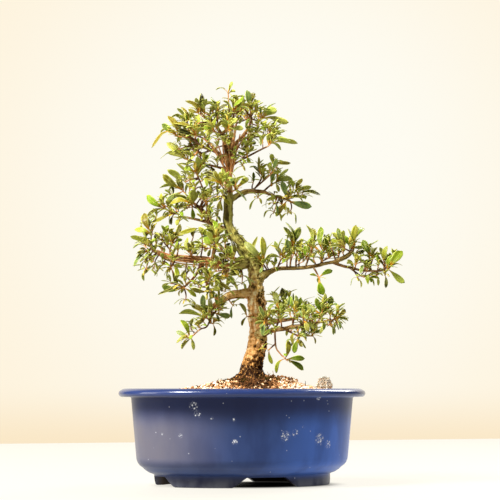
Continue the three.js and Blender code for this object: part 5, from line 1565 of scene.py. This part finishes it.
def grain_tint(place, chance):
    """A grain's tone: damp and dark round the trunk's foot, pale on the clump and to its right."""
    tint = chance.random()
    across, _, depth = to_view(place)
    clump = from_view(*SOIL_CLUMP)
    if (place - clump).xy.length < SOIL_CLUMP_REACH:
        return lerp(*CLUMP_TINTS, tint)
    reach = DAMP_TO_FRONT if depth < 0 else DAMP_TO_BACK
    away = hypot((across - TRUNK[2][0] - 2) / DAMP_ACROSS, depth / reach)
    damp = 1 - ease(away + 0.4 * noise.noise(place * 0.12), 0.8, 1.35)
    if damp > 0.5 and tint > 0.94:
        return PALE_IN_DAMP
    dry = lerp(tint, 1, 0.06 + 0.4 * ease(across, DRY_FROM, DRY_TO))
    return dry * lerp(1, 0.2, damp)


class BONSAI_OT_soil(bpy.types.Operator):
    """Scatter the loose grains over the soil, with moss and rootlets round the trunk"""

    bl_idname = "bonsai.soil"
    bl_label = "Soil"

    def execute(self, context):
        settings = context.scene.bonsai_soil
        chance = random.Random(SEED)
        refinish("soil", soil_finish(settings))
        template = pebble_template()
        whole = bmesh.new()
        places = level_places(settings.grains, chance)
        heap = from_view(*SOIL_HEAP)
        piled = [place for place in places if (place - heap).xy.length < SOIL_HEAP_REACH]
        places += [place + UP * chance.uniform(1, SOIL_HEAP_RISE) for place in piled]
        places += clump_places(settings.clump_grains, chance)
        for start in range(0, len(places), GRAINS_A_BATCH):
            bm = bmesh.new()
            bm.verts.layers.float.new("tint")
            for place in places[start:start + GRAINS_A_BATCH]:
                size = settings.grain_size / MM * chance.uniform(0.45, 1.4)
                lift = Vector((0, 0, size * chance.uniform(-0.15, 0.4)))
                tint = grain_tint(place, chance)
                add_pebble(bm, template, place + lift, size, tint, chance)
            batch = as_mesh("batch", bm)
            whole.from_mesh(batch)
            bpy.data.meshes.remove(batch)
        bpy.data.meshes.remove(template)
        add_piece("soil_grains", whole, grain_finish(settings))
        add_piece("rootlets", make_rootlets(), bark_finish(context.scene.bonsai_bark))
        add_piece("moss", make_moss(settings.moss_blades), moss_finish(settings))
        return {"FINISHED"}


def on_soil(soil, place):
    """The point of the soil's surface over or under a place."""
    return fall(soil, place.x, place.y)[0] / MM


def on_ring(middle, around, reach):
    """The place at a distance from a middle, at an angle round it."""
    return middle + Vector((cos(around), sin(around), 0)) * reach


def make_rootlets():
    """Thin roots that creep from the trunk's foot over the soil, and a few dry weed stems."""
    chance = random.Random(5 * SEED)
    soil = cad_tree("soil")
    foot = from_view(*TRUNK[2][:3])
    strands = []
    for k in range(ROOTLETS):
        around = tau * (k + chance.random()) / ROOTLETS
        places = []
        for step in range(6):
            reach = 12 + step * chance.uniform(2.5, 4.5)
            around += chance.uniform(-0.16, 0.16)
            spot = on_soil(soil, on_ring(foot, around, reach))
            places.append(spot + UP * chance.uniform(0.3, 1.4))
        strands.append(smooth_strand(places, evenly((chance.uniform(0.7, 1.2), 0.25), places)))
    for across, up, depth in WEED_STEMS:
        tip = from_view(across, up, depth)
        root = on_soil(soil, tip)
        lean = Vector((chance.uniform(-1.5, 1.5), chance.uniform(-1.5, 1.5), 0))
        places = [root, root.lerp(tip, 0.6) + lean, tip]
        strands.append(smooth_strand(places, evenly((0.4, 0.22), places)))
    bm = evaluated_bmesh(scratch_tubes("rootlet_tubes", strands, 1))
    mark_grain(bm, GrainFinder(strands), lambda place, sample: (0.5, 0, 0.8))
    shade_smooth(bm)
    return bm


def make_moss(count):
    """Short upright moss blades in patches round the trunk's foot."""
    chance = random.Random(6 * SEED)
    soil = cad_tree("soil")
    foot = from_view(*TRUNK[2][:3])
    bm = bmesh.new()
    blades = 0
    while blades < count:
        around = chance.uniform(0, tau)
        reach = chance.uniform(*MOSS_RING)
        spot = on_soil(soil, on_ring(foot, around, reach))
        if noise.noise(spot * 0.11) < 0.05 + 0.012 * (reach - MOSS_RING[0]):
            continue
        blades += 1
        height = chance.uniform(1.6, 3.4)
        made = bmesh.ops.create_cone(
            bm, segments=3, radius1=0.5, radius2=0.05, depth=height, cap_ends=True)
        lean = Matrix.Rotation(chance.uniform(-0.5, 0.5), 3, Vector((
            chance.uniform(-1, 1), chance.uniform(-1, 1), 0.01)).normalized())
        turn_and_move(bm, made["verts"], lean, spot + UP * (height / 2 + 0.6))
    return bm


class BONSAI_OT_screens(bpy.types.Operator):
    """Finish the two screens over the drain holes"""

    bl_idname = "bonsai.screens"
    bl_label = "Drain Screens"

    def execute(self, context):
        finish = screen_finish()
        for node in ("drain_screen_1", "drain_screen_2"):
            refinish(node, finish)
        return {"FINISHED"}


def add_light(name, place, aim, size, power, colour):
    light = bpy.data.lights.new(name, "AREA")
    light.shape = "RECTANGLE"
    light.size, light.size_y = size
    light.energy = power
    light.color = colour
    lamp = new_object(name, light)
    lamp.location = place
    lamp.rotation_euler = (Vector(aim) - Vector(place)).to_track_quat("-Z", "Y").to_euler()


def add_sheet(name, size, place, tilt, turn, material):
    """A flat rectangle of the stage, tilted about X, turned about Z and moved in its mesh."""
    bm = bmesh.new()
    bmesh.ops.create_grid(bm, x_segments=1, y_segments=1, size=0.5)
    bmesh.ops.scale(bm, vec=(*size, 1), verts=bm.verts[:])
    matrix = Matrix.Rotation(turn, 3, "Z") @ Matrix.Rotation(tilt, 3, "X")
    turn_and_move(bm, bm.verts[:], matrix, place)
    mesh = as_mesh(name, bm)
    mesh.materials.append(material)
    new_object(name, mesh)


def stage_place(across, away, up):
    """A place in the studio in metres, measured from the pot's middle as the camera sees it."""
    return VIEW_TURN @ Vector((across, away, up)) + Vector((POT_MIDDLE.x, POT_MIDDLE.y, 0)) * MM


class BONSAI_OT_stage(bpy.types.Operator):
    """Set up the floor, the wall, the soft lights and the camera"""

    bl_idname = "bonsai.stage"
    bl_label = "Stage"

    def execute(self, context):
        settings = context.scene.bonsai_stage
        scene = context.scene
        scene.view_settings.view_transform = "Standard"
        world = bpy.data.worlds.new("studio")
        world.use_nodes = True
        background = world.node_tree.nodes["Background"]
        background.inputs["Color"].default_value = (*settings.wall_colour, 1)
        background.inputs["Strength"].default_value = settings.daylight
        scene.world = world
        turn = VIEW_TURN.to_euler().z
        edge_turn = turn + radians(FLOOR_EDGE_TURN)
        floor_middle = stage_place(0, FLOOR_EDGE_AWAY, 0)
        floor_middle -= Matrix.Rotation(edge_turn, 3, "Z") @ Vector((0, FLOOR_SIZE[1] / 2, 0))
        add_sheet("floor", FLOOR_SIZE, floor_middle, 0, edge_turn, floor_finish(settings))
        wall_middle = stage_place(0, WALL_AWAY, WALL_MIDDLE_HEIGHT)
        add_sheet("wall", WALL_SIZE, wall_middle, pi / 2, turn, wall_finish(settings))
        aim = stage_place(0, 0, LAMP_AIM_HEIGHT)
        for name, (place, size, colour) in LAMPS.items():
            power = getattr(settings, name + "_power")
            add_light(name, stage_place(*place), aim, size, power, colour)
        camera_data = bpy.data.cameras.new("camera")
        camera_data.sensor_width = 36
        camera_data.lens = settings.focal_length
        camera = new_object("camera", camera_data)
        camera.location = stage_place(VIEW_ACROSS * MM, -VIEW_DISTANCE * MM, VIEW_HEIGHT * MM)
        aim = stage_place(VIEW_ACROSS * MM, 0, FRAME_MIDDLE_HEIGHT * MM)
        camera.rotation_mode = "QUATERNION"
        camera.rotation_quaternion = (aim - camera.location).to_track_quat("-Z", "Y")
        camera_data.clip_start = 0.05
        camera_data.clip_end = 50
        scene.camera = camera
        return {"FINISHED"}


def bark_finish(look):
    """Tan bark in strips, dark in its cracks, where damp and in painted shade, with lichen higher up.
    """
    finish = Finish("bark")
    grain = finish.attribute("grain", "Vector")
    girth = finish.attribute("girth")
    wear = finish.attribute("wear", "Vector")
    cracks_and_painted_shade = finish.part(wear, "X")
    cover = finish.part(wear, "Y")
    mossy = cover.math("MAXIMUM", 0)
    fresh = (cover * -1).math("MAXIMUM", 0)
    damp = finish.part(wear, "Z")
    patch = finish.noise(grain, 0.12, 2)
    strip = finish.noise(finish.stretched(grain, (1, 1, 0.22)), 0.36, 3, 0.4)
    ring = finish.noise(finish.stretched(grain, (0.25, 0.25, 1)), 0.3, 2, 0.6)
    speck = finish.noise(finish.stretched(grain, (1, 1, 0.7)), 0.42, 3, 0.6)
    crack = finish.cells(finish.stretched(grain, (1, 1, 0.7)), 0.4, "DISTANCE_TO_EDGE")
    smooth_tone = strip.eased(0.36, 0.64) * 0.5 + ring.eased(0.38, 0.62) * 0.3
    smooth_tone = smooth_tone + patch.eased(0.36, 0.64) * 0.4
    rough_tone = speck.eased(0.4, 0.6) * 0.75 + strip.eased(0.4, 0.6) * 0.3
    # The speckled, darker tone follows the cracks' mask, which paints shade on the trunk's right side
    tone = smooth_tone * (1 - cracks_and_painted_shade) + rough_tone * cracks_and_painted_shade
    tone = tone * (1 - damp * 0.5) - damp * 0.14 + (ring.eased(0.4, 0.6) - 0.5) * damp * 0.25
    tone = tone - (1 - crack.eased(0.02, 0.2)) * cracks_and_painted_shade * 0.25
    colour = finish.ramp(
        tone, (0, look.dark), (0.22, look.brown), (0.46, look.tan),
        (0.74, look.pale), (0.95, look.flake))
    moss_tone = strip.eased(0.36, 0.62) * (girth.eased(1, 5) * 0.5 + 0.5)
    moss = finish.mix(moss_tone, look.lichen_dark, look.lichen)
    limb = (1 - girth.eased(1.6, 3.6)) * (1 - mossy * 0.7)
    bare = finish.mix(strip.eased(0.36, 0.66), look.limb_dark, look.limb)
    whitish = speck.eased(0.62, 0.67) * damp
    colour = finish.layers(
        colour, (mossy * (0.75 + patch * 0.4), moss), (limb * 0.85, bare),
        (fresh * strip.eased(0.3, 0.6), look.twig), (whitish * 0.5, look.pale))
    lift = strip * 0.6 + speck * 0.6 + crack.eased(0, 0.2) * 0.4
    return finish.shade(colour, 0.85 - mossy * 0.1, 0.12, (lift, 0.8, 0.7))


def twig_finish(look):
    """Dark twigs, orange-brown in places, with pale streaks of peeling skin and painted highlight."""
    finish = Finish("twig")
    grain = finish.attribute("grain", "Vector")
    wear = finish.attribute("wear", "Vector")
    patch = finish.noise(finish.place(), 60, 2)
    strip = finish.noise(finish.stretched(grain, (1, 1, 0.2)), 0.9, 3, 0.5)
    fresh = (finish.part(wear, "X") + (patch - 0.5) * 1.2).eased(0.15, 0.8)
    # Pale streaks on the relief's ridges: peeling skin and a painted highlight
    peel_and_painted_highlight = strip.eased(0.52, 0.62) * (fresh * 0.5 + 0.2)
    groove = 1 - strip.eased(0.34, 0.44)
    colour = finish.layers(
        look.twig_dark, (patch.eased(0.4, 0.6) * 0.25, look.lichen_dark),
        (fresh, look.twig), (peel_and_painted_highlight, look.flake), (groove * 0.4, look.dark))
    return finish.shade(colour, 0.7, 0.08, (strip, 0.4, 0.2))


def bud_finish(look):
    """Brown bud scales with greenish tips."""
    finish = Finish("bud")
    patch = finish.noise(finish.place(), 300, 2)
    colour = finish.mix(patch.eased(0.4, 0.6), look.twig, look.lichen)
    return finish.shade(colour, 0.6, 0.1, (patch, 0.4, 0.2))


def leaf_finish(look):
    """Olive blades, yellower when young and at their stalk, paler beneath, with raised veins."""
    finish = Finish("leaf")
    blade = finish.attribute("blade", "Vector")
    across = finish.part(blade, "X").math("ABSOLUTE")
    along = finish.part(blade, "Y")
    tint = finish.attribute("tint")
    age = finish.attribute("age")
    hue = finish.attribute("hue")
    under = finish.attribute("under")
    place = finish.place()
    mottle = finish.noise(place, 260, 2)
    side = finish.noise(place, 14, 1)
    shade = finish.noise(place, 70, 2)
    # The tone holds painted light and shade as well as random differences
    tone = tint + (shade - 0.5) * 0.7
    fresh = finish.mix(tone.eased(0.1, 0.6), look.green_dark, look.green)
    greener = (tint + side - hue * 0.8).eased(0.9, 1.3)
    # Painted light: the lightest tones take the light colour
    lit = tone.eased(0.6, 0.9) * (age * 0.5 + hue * 0.2 + 0.42)
    stalk = (1 - (along - age * 0.3).eased(0, 0.3)) * 0.95
    midrib = 1 - across.eased(0.03, 0.12)
    wave = (along * 9 - across * 2.4).math("FRACT")
    side_vein = 1 - (wave - 0.5).math("ABSOLUTE").eased(0, 0.09)
    vein = (midrib * 0.8 + side_vein * 0.3).clamped()
    # Pale margins, partly a painted highlight along the edges
    margin = across.eased(0.65, 1) * along.eased(0.1, 0.4)
    # The cool colour of the greyish leaves is partly a painted sheen of the sky
    colour = finish.layers(
        look.shaded, (tone.eased(0.15, 0.6), look.olive), (greener * 0.9, fresh),
        (lit, look.light), (hue.eased(0.1, 0.7) * 0.85, look.cool),
        (age.eased(0.3, 0.85) * 0.8, look.young), (mottle.eased(0.45, 0.7) * 0.15, look.light),
        (stalk, look.stalk), (under * 0.5, look.beneath), (vein * 0.35, look.beneath),
        (margin * 0.5, look.light))
    lift = (1 - vein) * 0.5 + mottle * 0.15
    return finish.shade(
        colour, 0.32 + under * 0.3, 0.12, (lift, 0.5, 0.3), Subsurface_Weight=0.1,
        Subsurface_Radius=(0.9, 1, 0.1), Subsurface_Scale=0.001)


def glaze_finish(look):
    """Navy glaze, lighter and bluer towards one end as painted light, with painted shade by the lip
    and the foot, a lime film that is partly a painted reflection, chips and fine scratches.
    """
    finish = Finish("glaze")
    place = finish.place()
    height = finish.part(place, "Z") * 1000
    across = finish.part(place, "X") * 1000
    cloud = finish.noise(place, 16, 3, 0.4)
    brush = finish.noise(finish.stretched(place, (1, 1, 0.4)), 45, 3)
    # Painted light: lighter and bluer towards the right end
    painted_light_end = across.eased(-60, 70) * 0.95 + (cloud - 0.5) * 0.3
    # Painted shade below the lip
    painted_shade_under_lip = height.eased(54, 80) * (1 - height.eased(86, 88))
    # Painted shade near the bottom, with some clay colour mixed in
    foot = 1 - height.eased(5, 16)
    lip = height.eased(86.5, 88.5)
    # A lime film on the left end, partly a painted reflection
    film = (1 - across.eased(-122, -45)) * (1 - painted_shade_under_lip) * height.eased(14, 30)
    film = film * (brush.eased(0.1, 0.9) * 0.3 + 0.65)
    colour = finish.layers(
        look.blue, (painted_light_end.clamped(), look.light),
        ((1 - brush.eased(0.35, 0.6)) * 0.3, look.deep_and_painted_shade), (painted_shade_under_lip * 0.85, look.deep_and_painted_shade),
        (foot * 0.92, look.deep_and_painted_shade), (foot * 0.4, look.clay), (lip * 0.85, look.lip),
        (film * (1 - lip), look.haze_and_painted_reflection))
    kept = marked_places(finish, place)
    spot = finish.cells(place, 420)
    chip = (1 - spot.eased(0.18, 0.42)) * kept.eased(0.05, 0.6)
    scratch = (finish.noise(place, 190, 4, 2.5) - 0.5).math("ABSOLUTE")
    scratch = (1 - scratch.eased(0.004, 0.026)) * kept * 0.8
    stray = 1 - finish.cells(place, 90).eased(0.03, 0.07)
    dust = (1 - height.eased(1, 12)) * brush.eased(0.4, 0.65) * 0.12
    chalk = (chip + scratch + stray * 0.4 + dust).clamped()
    bare = finish.attribute("bare")
    clay = finish.mix(brush, look.clay, look.clay_light)
    colour = finish.layers(colour, (chalk * 0.9, look.chalk), (bare, clay))
    return finish.shade(
        colour, 0.32 + chalk * 0.4 + bare * 0.4, 0.15, (cloud * 0.4 + chalk * 0.1, 0.12, 0.6),
        Coat_Weight=0.1 + lip * 0.5 - bare * 0.1, Coat_Roughness=0.12)


def marked_places(finish, place):
    """1 in the middle of each lime mark on the glaze's front, and 0 outside them."""
    pot = cad_tree("pot")
    eye = from_view(VIEW_ACROSS, VIEW_HEIGHT, 1 - VIEW_DISTANCE)
    kept = None
    for across, up, reach in GLAZE_MARKS:
        sight = (from_view(across, up, 0) - eye).normalized()
        mark, _, _, _ = pot.ray_cast(eye * MM, sight)
        near = 1 - finish.distance(place, mark).eased(0, reach * MM)
        kept = kept.math("MAXIMUM", near) if kept else near
    return kept


def grain_finish(look):
    """Fired clay and pumice grains, each of its own tone."""
    finish = Finish("grains")
    colour = finish.ramp(
        finish.attribute("tint"), (0.04, look.dark), (0.2, look.brown),
        (0.36, look.tan), (0.56, look.orange), (0.74, look.pale), (0.9, look.white))
    pits = finish.noise(finish.place(), 900, 3)
    colour = finish.mix((1 - pits.eased(0.35, 0.5)) * 0.3, colour, look.brown)
    return finish.shade(colour, 0.95, 0.1, (pits, 0.6, 0.4))


def soil_finish(look):
    """The packed bed under the loose grains."""
    finish = Finish("soil_bed")
    place = finish.place()
    cells = finish.cells(place, 320)
    crumbs = finish.noise(place, 500, 3)
    away = finish.distance(place, from_view(*SOIL_CLUMP) * MM)
    colour = finish.layers(
        look.brown, (cells.eased(0.2, 0.7), look.dark),
        (crumbs.eased(0.55, 0.7) * 0.5, look.tan), (1 - away.eased(0.009, 0.012), look.pale))
    return finish.shade(colour, 0.95, 0.1, (crumbs - cells, 0.9, 1.2))


def moss_finish(look):
    """Olive moss with dry tips."""
    finish = Finish("moss")
    patch = finish.noise(finish.place(), 240, 2)
    colour = finish.mix(patch.eased(0.4, 0.65), look.moss, look.brown)
    return finish.shade(colour, 0.9, 0.1, (patch, 0.3, 0.3))


def screen_finish():
    """Matt dark plastic mesh."""
    finish = Finish("screen_plastic")
    mottle = finish.noise(finish.place(), 700, 2)
    colour = finish.mix(mottle, srgb(22, 24, 24), srgb(40, 42, 41))
    return finish.shade(colour, 0.5 + mottle * 0.2)


def floor_finish(look):
    """A pale floor that glows as painted light, bright as if overexposed, with a painted shadow
    under the pot where it doesn't glow.
    """
    finish = Finish("floor")
    place = finish.place()
    cloud = finish.noise(place, 0.8, 1)
    # The floor's own colour is kept dim, so that its glow, a painted light, outshines real shading
    shades = [tuple(share * channel for channel in look.floor_colour) for share in (0.1, 0.08)]
    toned = finish.mix(cloud, *shades)
    away = finish.distance(finish.stretched(place, (RIM_WIDTH / RIM_LENGTH, 1, 1)), ORIGIN)
    # Painted light: the floor glows away from the pot; the dark floor under the pot is a painted
    # shadow
    glow = away.eased(0.048, 0.078) * look.floor_glow
    glow = finish.mix(glow, BLACK, look.floor_colour)
    return finish.shade(toned, 0.6, Emission_Color=glow, Emission_Strength=1)


def wall_finish(look):
    """A cream wall that glows, with a painted pool of light behind the object and painted shade,
    warmer, low down and at its corners.
    """
    finish = Finish("wall")
    place = finish.place()
    # A painted pool of light behind the object, with painted shade towards the corners and low down
    away = finish.distance(place, stage_place(*WALL_GLOW))
    low = 1 - finish.part(place, "Z").eased(-0.12, 0.115)
    toned = finish.layers(
        look.wall_colour, (away.eased(0.3, 1.25), look.wall_edge_colour),
        (low, look.wall_low_colour))
    return finish.shade(BLACK, 0.5, 0, Emission_Color=toned, Emission_Strength=1)


def paint(name, description, red, green, blue):
    """A colour setting, given as a screen shows it."""
    return bpy.props.FloatVectorProperty(
        name=name, description=description, subtype="COLOR", size=3, min=0, max=1,
        default=srgb(red, green, blue))


def length(name, description, default, least, most):
    """A small length, in metres."""
    return bpy.props.FloatProperty(
        name=name, description=description, default=default, min=least, max=most, unit="LENGTH",
        precision=5)


def number(name, description, default, least, most):
    return bpy.props.IntProperty(
        name=name, description=description, default=default, min=least, max=most)


def power(name, description, default):
    return bpy.props.FloatProperty(
        name=name, description=description, default=default, min=0, unit="POWER")


class BonsaiBarkSettings(bpy.types.PropertyGroup):
    """The wood's skin and its colours"""

    skin_cell: length("Skin Detail", "The spacing of the points on the bark", 0.0007, 0.0004, 0.003)
    dark: paint("Dark", "Cracks and the damp foot of the trunk", 44, 22, 5)
    brown: paint("Brown", "Bark in its shallow furrows", 120, 80, 34)
    tan: paint("Tan", "Most of the trunk's bark", 208, 150, 84)
    pale: paint("Pale", "Smooth pale patches", 238, 192, 128)
    flake: paint("Flake", "Whitish flakes", 250, 232, 186)
    lichen: paint("Lichen", "Lichen on the upper trunk", 168, 162, 80)
    lichen_dark: paint("Dark Lichen", "Lichen in the furrows", 54, 48, 12)
    limb: paint("Limb", "Weathered limbs", 172, 120, 74)
    limb_dark: paint("Dark Limb", "Weathered limbs in their furrows", 80, 50, 28)
    twig: paint("Twig", "Fresh twigs", 206, 140, 84)
    twig_dark: paint("Dark Twig", "Old twigs", 104, 66, 34)


class BonsaiLeafSettings(bpy.types.PropertyGroup):
    """The leaves' number, thickness and colours"""

    young_leaves: number("Young Leaves", "Small leaves at the end of each twig", 5, 0, 8)
    lower_leaves: number("Lower Leaves", "Grown leaves below each twig's end", 3, 0, 6)
    shoot_leaves: number("Shoot Leaves", "Leaves on each side shoot", 6, 0, 10)
    thickness: length("Thickness", "The thickness of a blade", 0.00034, 0.0002, 0.001)
    # Painted shade: how far the leaves inside the foliage are darkened
    inner_shade: bpy.props.FloatProperty(
        name="Inner Shade", description="How light the leaves inside the foliage are", default=0.8,
        min=0, max=1, subtype="FACTOR")
    olive: paint("Olive", "Most of the grown leaves", 120, 110, 10)
    green: paint("Green", "The fresh green leaves", 108, 142, 16)
    # The fresh green's shaded copy, partly painted shade
    green_dark: paint("Dark Green", "The darker fresh leaves", 58, 72, 6)
    # Painted light on the lit leaves, and a painted highlight on the margins
    light: paint("Light Green", "The lightest grown leaves and the margins", 222, 224, 118)
    # A greyish colour that is partly a painted sheen of the sky
    cool: paint("Cool Green", "Greyish leaves in the shade", 98, 122, 66)
    # Painted shade: the colour that the darkest tones take
    shaded: paint("Shaded", "The darkest leaves", 30, 28, 2)
    young: paint("Young", "Leaves that have just opened", 196, 166, 60)
    stalk: paint("Stalk", "The leaf's foot and stalk", 196, 122, 20)
    beneath: paint("Beneath", "The pale underside and the veins", 190, 194, 92)


class BonsaiPotSettings(bpy.types.PropertyGroup):
    """The pot's shape and its glaze"""

    steps_round: number("Steps Round", "Steps of the pot's spin", 144, 32, 256)
    unevenness: length("Unevenness", "How far the thrown wall wanders", 0.0003, 0, 0.002)
    # Also painted shade: the glaze below the lip and near the bottom is mixed to it
    deep_and_painted_shade: paint("Deep Blue", "The glaze where it is thick", 4, 16, 62)
    blue: paint("Blue", "The glaze over most of the pot", 46, 64, 110)
    # Painted light: the glaze is mixed to it towards the right end
    light: paint("Light Blue", "The glaze where it runs thin", 65, 108, 200)
    lip: paint("Lip", "The glaze on the lip", 36, 50, 98)
    # Lime film that is partly a painted reflection on the left end
    haze_and_painted_reflection: paint("Haze", "The lime film that dulls the wall", 98, 94, 102)
    chalk: paint("Chalk", "Specks and scratches of lime and dust", 228, 232, 240)
    clay: paint("Clay", "The unglazed clay under the foot", 26, 20, 18)
    clay_light: paint("Light Clay", "The worn clay under the foot", 58, 46, 38)


class BonsaiSoilSettings(bpy.types.PropertyGroup):
    """The loose grains on the soil"""

    grains: number("Grains", "How many loose grains lie on the soil", 6800, 0, 9000)
    clump_grains: number("Clump Grains", "Grains on the clump beside the tree", 330, 0, 600)
    moss_blades: number("Moss Blades", "Moss blades round the trunk's foot", 900, 0, 4000)
    grain_size: length("Grain Size", "The usual width of a grain", 0.0029, 0.001, 0.008)
    dark: paint("Dark", "The darkest grains and the bed", 32, 17, 7)
    brown: paint("Brown", "Brown grains", 112, 72, 38)
    tan: paint("Tan", "Tan grains", 182, 130, 82)
    orange: paint("Orange", "Fired clay grains", 222, 164, 112)
    pale: paint("Pale", "Pale grains", 242, 212, 170)
    white: paint("White", "Pumice grains", 248, 238, 222)
    moss: paint("Moss", "The moss round the trunk's foot", 74, 66, 20)


class BonsaiStageSettings(bpy.types.PropertyGroup):
    """The studio round the object"""

    focal_length: bpy.props.FloatProperty(
        name="Focal Length", description="The camera's focal length", default=144.3, min=20,
        max=400, unit="CAMERA")
    daylight: bpy.props.FloatProperty(
        name="Daylight", description="Strength of the light from all round", default=0.09, min=0)
    key_power: power("Key Light", "Power of the main light at the upper left", 119)
    window_power: power("Window Light", "Power of the tall light at the left", 20)
    back_power: power("Back Light", "Power of the light behind the right side", 26)
    fill_power: power("Fill Light", "Power of the wide light at the right", 6)
    # Painted light: the floor's glow, with a painted shadow under the pot where it is missing
    floor_glow: bpy.props.FloatProperty(
        name="Floor Glow", description="How much the floor shines away from the pot", default=0.79,
        min=0, max=1)
    floor_colour: paint("Floor", "The pale floor", 252, 248, 237)
    wall_colour: paint("Wall", "The wall behind the object", 254, 252, 242)
    # Painted shade towards the wall's corners
    wall_edge_colour: paint("Wall Edge", "The wall towards its corners", 254, 243, 221)
    # Painted shade low on the wall
    wall_low_colour: paint("Low Wall", "The wall near the floor", 250, 231, 198)


SETTINGS = {
    "bonsai_bark": BonsaiBarkSettings,
    "bonsai_leaf": BonsaiLeafSettings,
    "bonsai_pot": BonsaiPotSettings,
    "bonsai_soil": BonsaiSoilSettings,
    "bonsai_stage": BonsaiStageSettings,
}
STEPS = (
    BONSAI_OT_stage, BONSAI_OT_pot, BONSAI_OT_screens, BONSAI_OT_soil, BONSAI_OT_wood,
    BONSAI_OT_twigs, BONSAI_OT_leaves,
)


class BONSAI_PT_panel(bpy.types.Panel):
    """Lists the steps that dress the bonsai, and their settings"""

    bl_idname = "BONSAI_PT_panel"
    bl_label = "Bonsai"
    bl_space_type = "VIEW_3D"
    bl_region_type = "UI"
    bl_category = "Bonsai"

    def draw(self, context):
        for step in STEPS:
            self.layout.operator(step.bl_idname)
        for name, group in SETTINGS.items():
            box = self.layout.box()
            box.label(text=group.__doc__)
            for setting in group.__annotations__:
                box.prop(getattr(context.scene, name), setting)


CLASSES = (*SETTINGS.values(), *STEPS, BONSAI_PT_panel)


def register():
    for cls in CLASSES:
        bpy.utils.register_class(cls)
    for name, group in SETTINGS.items():
        setattr(bpy.types.Scene, name, bpy.props.PointerProperty(type=group))


def unregister():
    for name in SETTINGS:
        delattr(bpy.types.Scene, name)
    for cls in reversed(CLASSES):
        bpy.utils.unregister_class(cls)


def main():
    register()
    for step in STEPS:
        group, name = step.bl_idname.split(".")
        getattr(getattr(bpy.ops, group), name)()


if __name__ == "__main__":
    main()
